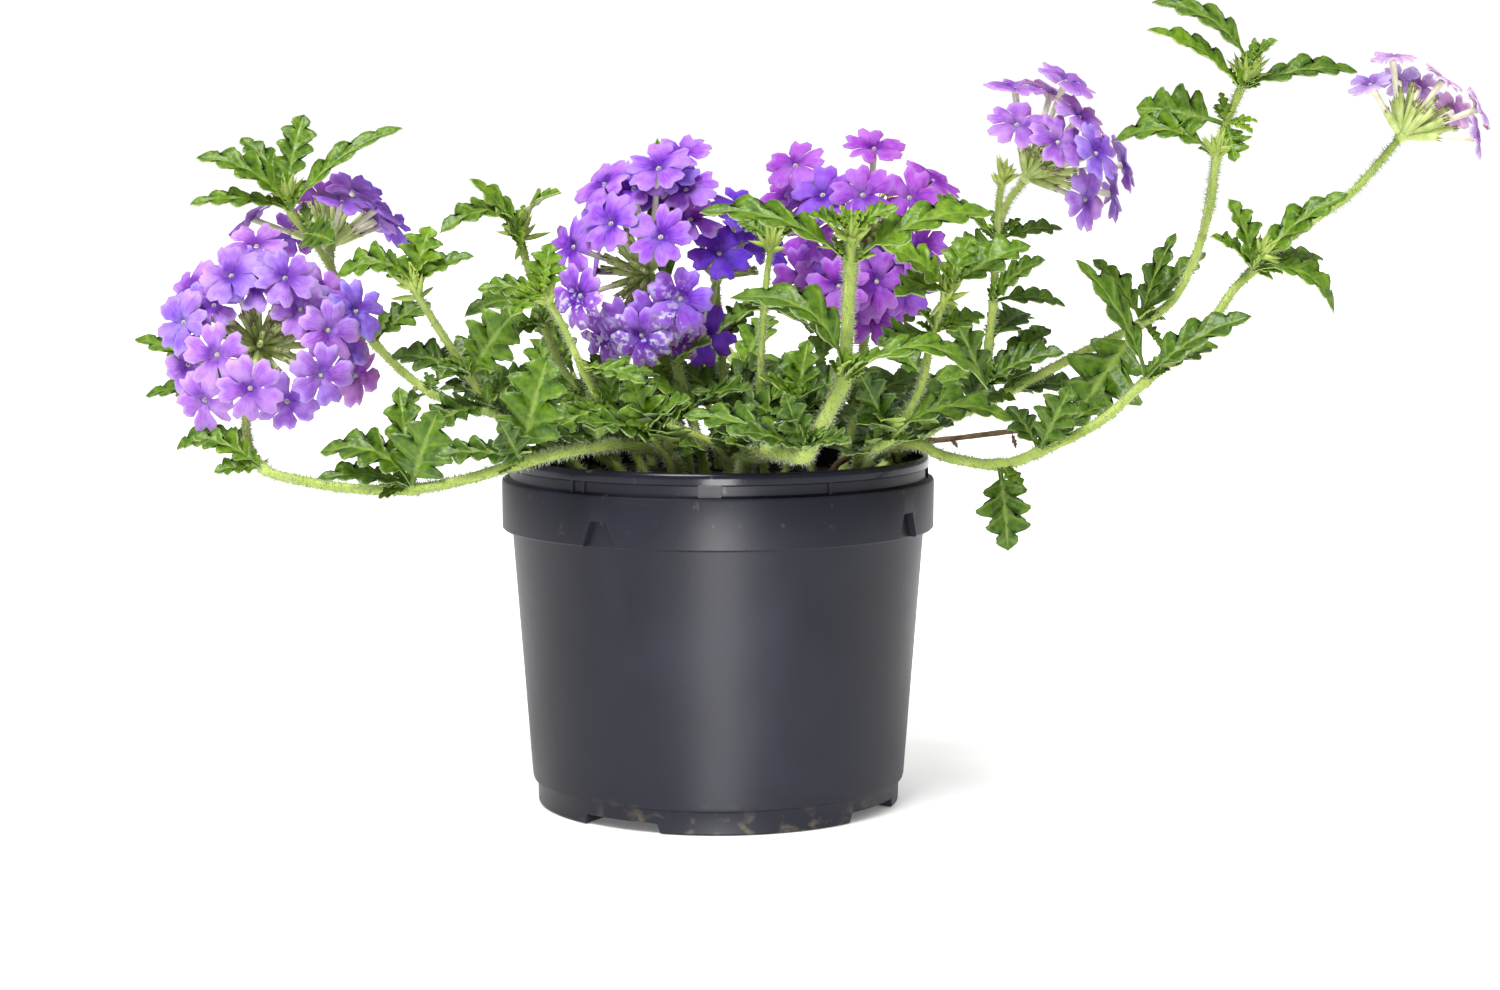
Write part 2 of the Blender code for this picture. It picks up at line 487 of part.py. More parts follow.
def in_space(route, carries):
    """A drawn route in space. Where it carries a head, it ends just short of the head's knob."""
    points = [place(*point) for point in route]
    for head in HEADS:
        if head.name == carries:
            hub = place(*head.hub)
            points[-1] = hub + (points[-2] - hub).normalized() * (HUB_RADIUS + GAP) * MM
    return points


def stem_points(stem):
    """The stem's route in space, with its foot straight down in the soil."""
    route = in_space(stem.route, stem.carries)
    route[0].z = (SOIL_LEVEL + 1) * MM
    foot = route[0] - Vector((0, 0, (HOLE_DEPTH + 1) * MM))
    return [foot] + route


def stem_radii(stem, count):
    """A stem's radius along its length: it thins towards its tip."""
    return [stem.radius * (1 - THINNING * number / (count - 1)) for number in range(count)]


def leaf_outline(width):
    """The outline for a leaf of this width: broad leaves have more lobes."""
    if width >= 12.5:
        return BIG_LEAF
    return LEAF if width >= 9.5 else SMALL_LEAF


def blade(base, tip, width, face, arch, swell=0.0):
    """A lobed leaf blade with its stalk, bent over along its length. Its swollen copy tests for clearance."""
    along = tip - base
    length = along.length
    towards = Vector((0, -1, 0.35)) if face == "front" else Vector((0, -0.35, 1))
    side = along.cross(towards).normalized()
    upper = side.cross(along).normalized()
    start = base - along.normalized() * LEAF_ROOT * MM
    shape = bmesh.new()
    rows = []
    outline = leaf_outline(width)
    half = width / 2
    for share, spread in (*outline, (1.0, 0.0)):
        middle = start.lerp(tip, share) + upper * (arch * length * 4 * share * (1 - share))
        slope = (along.normalized() + upper * (arch * 4 * (1 - 2 * share))).normalized()
        lift = side.cross(slope).normalized() * ((BLADE / 2 + swell) * MM)
        out = side * (spread * half + swell) * MM
        spots = [middle - out, middle + out] if out.length > 0 else [middle]
        rows.append([[spot + lift for spot in spots], [spot - lift for spot in spots]])
    levels = []
    for level in (0, 1):
        corners = [[shape.verts.new(spot) for spot in row[level]] for row in rows]
        for near, far in zip(corners, corners[1:]):
            shape.faces.new([*near, *reversed(far)] if len(far) == 2 else [*near, far[0]])
        levels.append(corners)
    for first, second in ((0, 0), (-1, -1)):
        for number in range(len(rows) - 1):
            near = [levels[0][number][first], levels[1][number][first]]
            far = [levels[0][number + 1][second], levels[1][number + 1][second]]
            shape.faces.new([near[0], near[1], far[1], far[0]])
    shape.faces.new([levels[0][0][0], levels[0][0][1], levels[1][0][1], levels[1][0][0]])
    if len(levels[0][-1]) == 2:
        shape.faces.new([levels[0][-1][0], levels[0][-1][1], levels[1][-1][1], levels[1][-1][0]])
    bmesh.ops.triangulate(shape, faces=shape.faces)
    return shape


def clear_blade(leaf, base, obstacles):
    """The leaf swung forwards or back on its stalk until it touches nothing."""
    across, up, back = leaf.tip
    for swing in SWINGS:
        tip = place(across, up, back + swing)
        probe = blade(base, tip, leaf.width, leaf.face, leaf.arch, swell=LEAF_CLEARANCE)
        tree = BVHTree.FromBMesh(probe)
        probe.free()
        if not any(tree.overlap(other) for other in obstacles):
            return blade(base, tip, leaf.width, leaf.face, leaf.arch)
    raise ValueError(f"no room for {leaf}")


def end_bud(points, seed):
    """The closed buds at the tip of a stem or side shoot: a knob whose corners stand out unevenly."""
    draw = random.Random(seed)
    shape = bmesh.new()
    bmesh.ops.create_icosphere(shape, subdivisions=1, radius=BUD_RADIUS * MM)
    for corner in shape.verts:
        corner.co *= draw.choice((0.75, 1.0, 1.55))
    centre = points[-1] + (points[-1] - points[-2]).normalized() * BUD_BEYOND_TIP * MM
    bmesh.ops.translate(shape, vec=centre, verts=shape.verts)
    return make_object("bud", shape)


def floret(hub, face, facing, spin):
    """One floret: a slim tube from the knob that flares into five flat petals, thin only at their rims."""
    shape = bmesh.new()
    turn = facing.to_track_quat("Z", "Y").to_matrix().to_4x4() @ Matrix.Rotation(spin, 4, "Z")
    frame = Matrix.Translation(face) @ turn
    foot_frame = Matrix.Translation(hub + (face - hub).normalized() * MM) @ turn
    rim, neck, foot = [], [], []
    for petal in range(5):
        for angle, share in PETAL:
            rim.append(shape.verts.new(frame @ ring_spot(petal * 72 + angle, FLORET_RADIUS * share)))
        neck.append(shape.verts.new(frame @ ring_spot(petal * 72, NECK_RADIUS, -NECK_DEPTH)))
        foot.append(shape.verts.new(foot_frame @ ring_spot(petal * 72, FOOT_RADIUS)))
    shape.faces.new(rim)
    for petal in range(5):
        after = (petal + 1) % 5
        corners = [rim[(petal * 3 + step) % 15] for step in range(4)]
        for first, second in zip(corners[:3], corners[1:]):
            shape.faces.new((first, neck[petal], second))
        shape.faces.new((corners[3], neck[petal], neck[after]))
        shape.faces.new((neck[petal], foot[petal], foot[after], neck[after]))
    shape.faces.new(foot)
    return make_object("floret", shape)


def ring_spot(angle, radius, height=0.0):
    """A point this far round and out from a floret's middle."""
    turn = math.radians(angle)
    return Vector((math.cos(turn) * radius, math.sin(turn) * radius, height)) * MM


def make_head(head):
    """A head of florets, grown together on its knob."""
    draw = random.Random(head.name)
    hub = place(*head.hub)
    axis = Vector(head.axis).normalized()
    finish = material(head.name + "_petals", head.colour, 0.6)
    shape = bmesh.new()
    bmesh.ops.create_icosphere(shape, subdivisions=1, radius=HUB_RADIUS * MM, matrix=Matrix.Translation(hub))
    base = make_object(head.name, shape, finish)
    pieces = []
    for across, up, reach in head.florets:
        spread = math.hypot(across - head.hub[0], up - head.hub[1])
        depth = math.copysign(math.sqrt(max(reach * reach - spread * spread, 0.0)), reach)
        face = place(across, up, head.hub[2] - depth)
        way = (face - hub).normalized()
        facing = (way * (1 - FACE_FORWARD) + axis * FACE_FORWARD).normalized()
        pieces.append(floret(hub, face, facing, draw.uniform(0, math.tau)))
    combine(base, pieces, "UNION")
    return base


def tree_of(thing):
    """A search tree of an object's own faces."""
    shape = bmesh.new()
    shape.from_mesh(thing.data)
    tree = BVHTree.FromBMesh(shape)
    shape.free()
    return tree


def make_stems(still_things):
    """Every stem with its branches, buds and leaves, each leaf clear of all the other pieces."""
    bodies, extras, trees = {}, {}, {}
    for stem in STEMS:
        points = smooth_route(stem_points(stem))
        finish = material(stem.name + "_green", stem.colour, 0.6)
        bodies[stem.name] = tube(stem.name, points, stem_radii(stem, len(points)), finish)
        parts = []
        if stem.bud:
            parts.append(end_bud(points, stem.name))
        for branch in stem.branches:
            along = smooth_route(in_space([stem.route[branch.at]] + branch.route, branch.carries))
            parts.append(tube("branch", along, [branch.radius] * len(along)))
            if branch.bud:
                parts.append(end_bud(along, stem.name + "_branch"))
        extras[stem.name] = parts
        trees[stem.name] = [tree_of(part) for part in (bodies[stem.name], *parts)]
    for stem in STEMS:
        for leaf in stem.leaves:
            others = [tree for name, found in trees.items() if name != stem.name for tree in found]
            shape = clear_blade(leaf, place(*stem.route[leaf.at]), others + still_things)
            trees[stem.name].append(BVHTree.FromBMesh(shape))
            extras[stem.name].append(make_object("leaf", shape))
    for stem in STEMS:
        if extras[stem.name]:
            combine(bodies[stem.name], extras[stem.name], "UNION")
    return list(bodies.values())


def cut_stem_holes(soil):
    """A plain hole in the soil for each stem's foot."""
    cutters = []
    for stem in STEMS:
        points = smooth_route(stem_points(stem))[:4]
        points[0] = points[0] - Vector((0, 0, GAP * MM))
        cutters.append(tube("hole", points, [stem.radius + GAP] * len(points)))
    combine(soil, cutters, "DIFFERENCE")


def build():
    """The whole plant in its pot."""
    for old in list(bpy.data.objects):
        bpy.data.objects.remove(old)
    pot = make_pot()
    soil = make_soil()
    cut_stem_holes(soil)
    heads = [make_head(head) for head in HEADS]
    still_things = [tree_of(thing) for thing in (pot, soil, *heads)]
    stems = make_stems(still_things)
    for thing in (pot, soil, *heads, *stems):
        thing.data.shade_smooth()
        thing.data.set_sharp_from_angle(angle=math.radians(35))


build()
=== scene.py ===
"""The looks of a trailing verbena in its black nursery pot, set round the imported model."""

import itertools
import math
import random
from typing import NamedTuple

import bmesh
import bpy
from mathutils import Matrix, Vector, noise
from mathutils.bvhtree import BVHTree


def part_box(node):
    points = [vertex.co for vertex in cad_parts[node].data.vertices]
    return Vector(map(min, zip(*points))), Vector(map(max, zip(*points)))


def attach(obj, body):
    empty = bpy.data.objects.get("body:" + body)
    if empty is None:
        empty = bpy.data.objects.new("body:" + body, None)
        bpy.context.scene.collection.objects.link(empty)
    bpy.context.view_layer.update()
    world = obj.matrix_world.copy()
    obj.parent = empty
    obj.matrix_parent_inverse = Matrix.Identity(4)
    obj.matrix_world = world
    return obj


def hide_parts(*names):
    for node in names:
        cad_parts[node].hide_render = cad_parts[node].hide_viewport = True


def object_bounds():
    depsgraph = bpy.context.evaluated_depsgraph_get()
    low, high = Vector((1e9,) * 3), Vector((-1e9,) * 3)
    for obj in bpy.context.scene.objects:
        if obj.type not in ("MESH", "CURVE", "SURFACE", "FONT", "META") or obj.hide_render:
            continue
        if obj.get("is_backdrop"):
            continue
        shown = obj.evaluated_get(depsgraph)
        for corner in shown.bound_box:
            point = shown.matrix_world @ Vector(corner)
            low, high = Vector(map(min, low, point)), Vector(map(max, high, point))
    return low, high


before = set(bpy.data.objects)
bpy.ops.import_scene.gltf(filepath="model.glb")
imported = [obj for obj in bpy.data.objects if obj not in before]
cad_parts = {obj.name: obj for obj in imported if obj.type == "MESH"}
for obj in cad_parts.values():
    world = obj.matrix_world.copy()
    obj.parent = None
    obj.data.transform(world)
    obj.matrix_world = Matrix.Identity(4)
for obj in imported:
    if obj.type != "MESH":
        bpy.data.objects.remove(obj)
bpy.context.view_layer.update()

MM = 0.001


# Camera and studio.
# The plant is photographed from a little above its rim, level across, against a bright white ground. One
# soft light comes from above and in front, and even light from all round. The floor is a plain pale sheet.

EYE = Vector((0.0096, -0.860, 0.184))
EYE_PITCH = 6.09
LENS = 68.8
ROOM_LIGHT = 0.4
ROOM_SEEN = 1.05
camera = bpy.data.objects.new("camera", bpy.data.cameras.new("camera"))
camera.data.lens = LENS
camera.data.sensor_width = 36.0
camera.data.clip_end = 50.0
camera.location = EYE
camera.rotation_euler = (math.radians(90 - EYE_PITCH), 0, 0)
bpy.context.scene.collection.objects.link(camera)
bpy.context.scene.camera = camera
bpy.context.scene.view_settings.view_transform = "Standard"

world = bpy.data.worlds.new("white_room")
world.use_nodes = True
ground = world.node_tree
seen = ground.nodes.new("ShaderNodeLightPath")
strength = ground.nodes.new("ShaderNodeMapRange")
strength.inputs["To Min"].default_value = ROOM_LIGHT
strength.inputs["To Max"].default_value = ROOM_SEEN
ground.links.new(seen.outputs["Is Camera Ray"], strength.inputs["Value"])
ground.links.new(strength.outputs[0], ground.nodes["Background"].inputs["Strength"])
ground.nodes["Background"].inputs["Color"].default_value = (1.0, 1.0, 1.0, 1.0)
bpy.context.scene.world = world

sky_lamp = bpy.data.objects.new("soft_sky", bpy.data.lights.new("soft_sky", "SUN"))
sky_lamp.data.energy = 3.6
sky_lamp.data.angle = math.radians(25)
sky_lamp.rotation_euler = Vector((0.3, 0.55, -1.0)).to_track_quat("-Z", "Y").to_euler()
bpy.context.scene.collection.objects.link(sky_lamp)

FLOOR_SIZE = 20.0
FLOOR_DROP = 0.0002
floor_white = bpy.data.materials.new("floor_white")
floor_white.use_nodes = True
shader = floor_white.node_tree.nodes["Principled BSDF"]
shader.inputs["Base Color"].default_value = (0.75, 0.75, 0.75, 1.0)
shader.inputs["Roughness"].default_value = 0.6
shader.inputs["Emission Color"].default_value = (1.0, 1.0, 1.0, 1.0)
shader.inputs["Emission Strength"].default_value = 0.12
sheet = bmesh.new()
bmesh.ops.create_grid(
    sheet, x_segments=1, y_segments=1, size=FLOOR_SIZE, matrix=Matrix.Translation((0, 0, -FLOOR_DROP))
)
floor_mesh = bpy.data.meshes.new("floor")
sheet.to_mesh(floor_mesh)
sheet.free()
floor_mesh.materials.append(floor_white)
floor = bpy.data.objects.new("floor", floor_mesh)
bpy.context.scene.collection.objects.link(floor)
floor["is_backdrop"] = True

wash = bpy.data.objects.new("floor_wash", bpy.data.lights.new("floor_wash", "SUN"))
wash.data.energy = 3.0
wash.data.angle = math.radians(150)
washed = bpy.data.collections.new("washed")
washed.objects.link(floor)
wash.light_linking.receiver_collection = washed
bpy.context.scene.collection.objects.link(wash)


# Pot.
# A thin injection-moulded nursery pot in near-black plastic. It has a base ring with four edge openings,
# a tapered body, a wider collar with four notches, a recessed band with small tabs and a rolled lip.


def finish_of(name, roughness, **sockets):
    """A new material, with its shader's constant values set on its own sockets."""
    made = bpy.data.materials.new(name)
    made.use_nodes = True
    shader = made.node_tree.nodes["Principled BSDF"]
    shader.inputs["Roughness"].default_value = roughness
    for socket, value in sockets.items():
        shader.inputs[socket.replace("_", " ")].default_value = value
    return made, made.node_tree, shader


def node(tree, kind, inputs=None, **settings):
    """A shader node with its settings and its unlinked values."""
    made = tree.nodes.new(kind)
    for setting, value in settings.items():
        setattr(made, setting, value)
    for socket, value in (inputs or {}).items():
        if isinstance(value, bpy.types.NodeSocket):
            tree.links.new(value, made.inputs[socket])
        else:
            made.inputs[socket].default_value = value
    return made


def ramp(tree, driver, stops):
    """A colour ramp over a number. A stop is a position and a colour."""
    made = node(tree, "ShaderNodeValToRGB", {"Fac": driver})
    band = made.color_ramp
    while len(band.elements) < len(stops):
        band.elements.new(0.5)
    for element, (position, colour) in zip(band.elements, stops):
        element.position = position
        element.color = (*colour, 1.0)
    return made.outputs["Color"]


def mixed(tree, share, first, second, blend="MIX"):
    """Two colours mixed by a share, where each may be a colour or a socket."""
    made = node(tree, "ShaderNodeMix", data_type="RGBA", blend_type=blend)
    for socket, value in ((made.inputs[0], share), (made.inputs[6], first), (made.inputs[7], second)):
        if isinstance(value, bpy.types.NodeSocket):
            tree.links.new(value, socket)
        elif isinstance(value, (int, float)):
            socket.default_value = value
        else:
            socket.default_value = (*value, 1.0)
    return made.outputs[2]


def sum_of(tree, operation, first, second=0.0):
    """One step of arithmetic on two numbers or sockets."""
    made = node(tree, "ShaderNodeMath", {0: first, 1: second}, operation=operation)
    return made.outputs[0]


def speckle(tree, where, scale, detail=3.0, distortion=0.0):
    """Noise from 0 to 1 over the piece."""
    made = node(tree, "ShaderNodeTexNoise", {"Vector": where, "Scale": scale, "Detail": detail,
                                             "Distortion": distortion})
    return made.outputs["Fac"]


def raise_by(tree, shader, height, distance, strength):
    """Fine relief on the surface from a height pattern."""
    bump = node(tree, "ShaderNodeBump", {"Height": height, "Distance": distance, "Strength": strength})
    tree.links.new(bump.outputs["Normal"], shader.inputs["Normal"])


def finished(mesh, finishes, nodes):
    """A piece of the plant from its mesh, with its materials, in place and riding on the root body."""
    for finish in finishes:
        mesh.materials.append(finish)
    mesh.shade_smooth()
    made = bpy.data.objects.new(mesh.name, mesh)
    bpy.context.scene.collection.objects.link(made)
    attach(made, "root")
    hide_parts(*nodes)
    return made


def piece_from(shape, name, finishes, nodes):
    """A finished piece of the plant from a bmesh."""
    mesh = bpy.data.meshes.new(name)
    shape.to_mesh(mesh)
    shape.free()
    return finished(mesh, finishes, nodes)


ROUND_STEPS = 144
LIP_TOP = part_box("pot")[1][2] / MM
FLOOR_TOP = 5.0
BAND_MIDDLE = 99.8
TAB_SIZE = (6.6, 1.5, 3.6)
TAB_OUT = 62.4
RIB_SIZE = (1.0, 0.9, 3.6)
RIB_OUT = 62.5
RIB_TURNS = (-41, -37, 31, 112, 158, 203, 251)
OPENING_SIZE = (28.0, 24.0, 6.0)
OPENING_OUT = 54.6
NOTCH_SIZE = (11.3, 5.0, 8.2)
NOTCH_OUT = 65.1
NOTCH_MIDDLE = 86.4
DRAIN_RADIUS = 4.0
DRAIN_OUT = 46.5
DRAIN_STEPS = 28
OPENING_TURNS = [math.radians(-31 + 90 * quarter) for quarter in range(4)]
POT_PROFILE = [
    (0, 0), (54.2, 0), (54.6, 0.4), (54.8, 6.4), (55.2, 7.0), (56.0, 7.3), (56.3, 8.4),
    (61.9, 82.4), (62.3, 83.1), (64.4, 83.0), (64.9, 83.5), (65.0, 97.2), (64.7, 97.9),
    (62.9, 98.1), (62.4, 98.5), (62.4, 101.2), (62.7, 101.5), (63.4, 101.7), (63.5, 103.2),
    (63.4, 104.0), (63.1, 104.6), (62.6, LIP_TOP), (62.1, 104.8), (61.9, 103.4), (61.9, 99.0),
    (54.2, FLOOR_TOP + 0.4), (53.8, FLOOR_TOP), (0, FLOOR_TOP),
]


def turned(profile, steps=ROUND_STEPS):
    """A turned solid from radii and heights in millimetres that start and end on the axis."""
    shape = bmesh.new()
    corners = [shape.verts.new((radius * MM, 0.0, height * MM)) for radius, height in profile]
    edges = [shape.edges.new(pair) for pair in zip(corners, corners[1:])]
    bmesh.ops.spin(
        shape, geom=corners + edges, axis=(0, 0, 1), cent=(0, 0, 0), angle=math.tau, steps=steps,
        use_merge=True,
    )
    bmesh.ops.remove_doubles(shape, verts=shape.verts, dist=1e-6)
    bmesh.ops.recalc_face_normals(shape, faces=shape.faces)
    return shape


def block(shape, size, middle, turn, top_share=1.0):
    """Adds a block in millimetres to a bmesh, narrower at its top by a share, turned round the pot's axis."""
    made = bmesh.ops.create_cube(shape, size=1.0)["verts"]
    for corner in made:
        if corner.co.z > 0:
            corner.co.x *= top_share
    bmesh.ops.scale(shape, vec=Vector(size) * MM, verts=made)
    bmesh.ops.translate(shape, vec=Vector(middle) * MM, verts=made)
    bmesh.ops.rotate(shape, matrix=Matrix.Rotation(turn, 3, "Z"), verts=made)


def carved(base, tool, operation):
    """The base mesh object with the tool's shape cut from it or joined to it."""
    tool_mesh = bpy.data.meshes.new("tool")
    bmesh.ops.recalc_face_normals(tool, faces=tool.faces)
    tool.to_mesh(tool_mesh)
    tool.free()
    cutter = bpy.data.objects.new("tool", tool_mesh)
    bpy.context.scene.collection.objects.link(cutter)
    step = base.modifiers.new("carve", "BOOLEAN")
    step.operation = operation
    step.object = cutter
    step.solver = "EXACT"
    bpy.context.view_layer.update()
    done = bpy.data.meshes.new_from_object(base.evaluated_get(bpy.context.evaluated_depsgraph_get()))
    base.modifiers.clear()
    base.data = done
    bpy.data.objects.remove(cutter)


pot_black, tree, shader = finish_of("pot_black", 0.4, Specular_IOR_Level=0.2)
where = node(tree, "ShaderNodeTexCoord").outputs["Object"]
height = node(tree, "ShaderNodeSeparateXYZ", {0: where}).outputs["Z"]
grain = speckle(tree, where, 900.0, 2.0)
cloud = speckle(tree, where, 28.0, 4.0, 0.6)
plastic = ramp(tree, cloud, [(0.3, (0.005, 0.0052, 0.009)), (0.7, (0.0085, 0.0088, 0.0145))])
low = node(tree, "ShaderNodeMapRange", {"Value": height, "From Min": 0.01, "From Max": 0.0}).outputs[0]
blotch = speckle(tree, where, 170.0, 9.0, 0.4)
dust = sum_of(tree, "MULTIPLY", low, ramp(tree, blotch, [(0.54, (0, 0, 0)), (0.7, (0.6, 0.6, 0.6))]))
foot = mixed(tree, dust, plastic, (0.11, 0.085, 0.055))
near_rim = node(tree, "ShaderNodeMapRange", {"Value": height, "From Min": 0.082, "From Max": 0.1}).outputs[0]
crumb = speckle(tree, where, 260.0, 2.0)
specks = sum_of(tree, "MULTIPLY", near_rim, ramp(tree, crumb, [(0.68, (0, 0, 0)), (0.76, (0.7, 0.7, 0.7))]))
tree.links.new(mixed(tree, specks, foot, (0.07, 0.055, 0.045)), shader.inputs["Base Color"])
rough = node(tree, "ShaderNodeMapRange", {"Value": cloud, "To Min": 0.34, "To Max": 0.5}).outputs[0]
dusty = sum_of(tree, "ADD", rough, sum_of(tree, "MULTIPLY", dust, 0.35))
on_lip = node(tree, "ShaderNodeMapRange", {"Value": height, "From Min": 0.1012, "From Max": 0.1018})
dusty = sum_of(tree, "SUBTRACT", dusty, sum_of(tree, "MULTIPLY", on_lip.outputs[0], 0.22))
tree.links.new(dusty, shader.inputs["Roughness"])
raise_by(tree, shader, grain, 0.00004, 0.5)

pot = piece_from(turned(POT_PROFILE), "pot_moulding", [pot_black], ["pot"])
tabs = bmesh.new()
for quarter in range(4):
    block(tabs, TAB_SIZE, (0, -TAB_OUT, BAND_MIDDLE), math.radians(-1.5 + 90 * quarter))
for turn in RIB_TURNS:
    block(tabs, RIB_SIZE, (0, -RIB_OUT, BAND_MIDDLE), math.radians(turn))
carved(pot, tabs, "UNION")
cuts = bmesh.new()
for turn in OPENING_TURNS:
    block(cuts, OPENING_SIZE, (0, -OPENING_OUT, 0), turn, 0.86)
    block(cuts, NOTCH_SIZE, (0, -NOTCH_OUT, NOTCH_MIDDLE), turn, 0.46)
carved(pot, cuts, "DIFFERENCE")
drains = bmesh.new()
for turn in OPENING_TURNS:
    spot = Matrix.Rotation(turn, 4, "Z") @ Matrix.Translation((0, -DRAIN_OUT * MM, FLOOR_TOP * MM))
    bmesh.ops.create_cone(
        drains, cap_ends=True, segments=DRAIN_STEPS, radius1=DRAIN_RADIUS * MM,
        radius2=DRAIN_RADIUS * MM, depth=12 * MM, matrix=spot,
    )
carved(pot, drains, "DIFFERENCE")
pot.data.set_sharp_from_angle(angle=math.radians(38))

strip = bpy.data.objects.new("strip_light", bpy.data.lights.new("strip_light", "AREA"))
strip.data.shape = "RECTANGLE"
strip.data.size = 0.045
strip.data.size_y = 0.19
strip.data.energy = 0.6
strip.location = (0.004, -0.19, 0.02)
strip.rotation_euler = (math.radians(90), 0, 0)
strip.visible_camera = False
lit_by_strip = bpy.data.collections.new("lit_by_strip")
lit_by_strip.objects.link(pot)
strip.light_linking.receiver_collection = lit_by_strip
strip.light_linking.blocker_collection = lit_by_strip
bpy.context.scene.collection.objects.link(strip)


# Soil.
# Dark, damp potting soil filled to just under the lip. Its surface is uneven, with crumbs and bits of bark
# lying on it, and it closes round each stem.

SOIL_TOP = 96.5
SOIL_RADIUS = 60.0
SOIL_RINGS = 20
SOIL_STEPS = 96
CRUMBS = 900
soil_brown, tree, shader = finish_of("soil_brown", 0.95)
where = node(tree, "ShaderNodeTexCoord").outputs["Object"]
clods = speckle(tree, where, 210.0, 6.0)
tree.links.new(ramp(tree, clods, [(0.32, (0.006, 0.004, 0.003)), (0.55, (0.028, 0.017, 0.01)),
                                  (0.75, (0.075, 0.05, 0.032))]), shader.inputs["Base Color"])
raise_by(tree, shader, clods, 0.0012, 1.0)
fill = turned([(0, 5.4), (53.4, 5.4), (60.7, SOIL_TOP - 1.2)]
              + [(SOIL_RADIUS - 3.0 * ring, SOIL_TOP) for ring in range(SOIL_RINGS)] + [(0, SOIL_TOP)],
              SOIL_STEPS)
for corner in fill.verts:
    if corner.co.z > (SOIL_TOP - 0.5) * MM:
        rough_up = noise.noise(corner.co * 90) * 1.6 + noise.noise(corner.co * 330) * 1.0
        corner.co.z += rough_up * MM
draw = random.Random("crumbs")
for _ in range(CRUMBS):
    out = SOIL_RADIUS * math.sqrt(draw.random())
    turn = draw.uniform(0, math.tau)
    spot = Vector((out * math.cos(turn), out * math.sin(turn), SOIL_TOP + draw.uniform(-0.6, 0.8))) * MM
    scale = Matrix.Diagonal((draw.uniform(0.5, 1.8), draw.uniform(0.5, 1.2), draw.uniform(0.4, 0.9), 1.0))
    lean = Matrix.Rotation(draw.uniform(0, math.tau), 4, "Z")
    bmesh.ops.create_icosphere(fill, subdivisions=1, radius=draw.uniform(0.5, 1.3) * MM,
                               matrix=Matrix.Translation(spot) @ lean @ scale)
piece_from(fill, "soil_fill", [soil_brown], ["soil"])


# Flower heads.
# Seven heads of florets. A floret is a cream tube in a narrow hairy green calyx that flares into five soft
# notched petals. The tubes of a head all grow from one knob at the tip of its stem.


class Head(NamedTuple):
    """A head of florets, laid out on the front drawing. A floret is (across, up, length of its tube)."""

    name: str
    hub: tuple
    axis: tuple
    florets: list
    slot: str
    deep: tuple
    middle: tuple
    pale: tuple
    petal: float = 10.3
    forward: float = 0.5
    full: bool = True
    bleached_below: float = 0.0


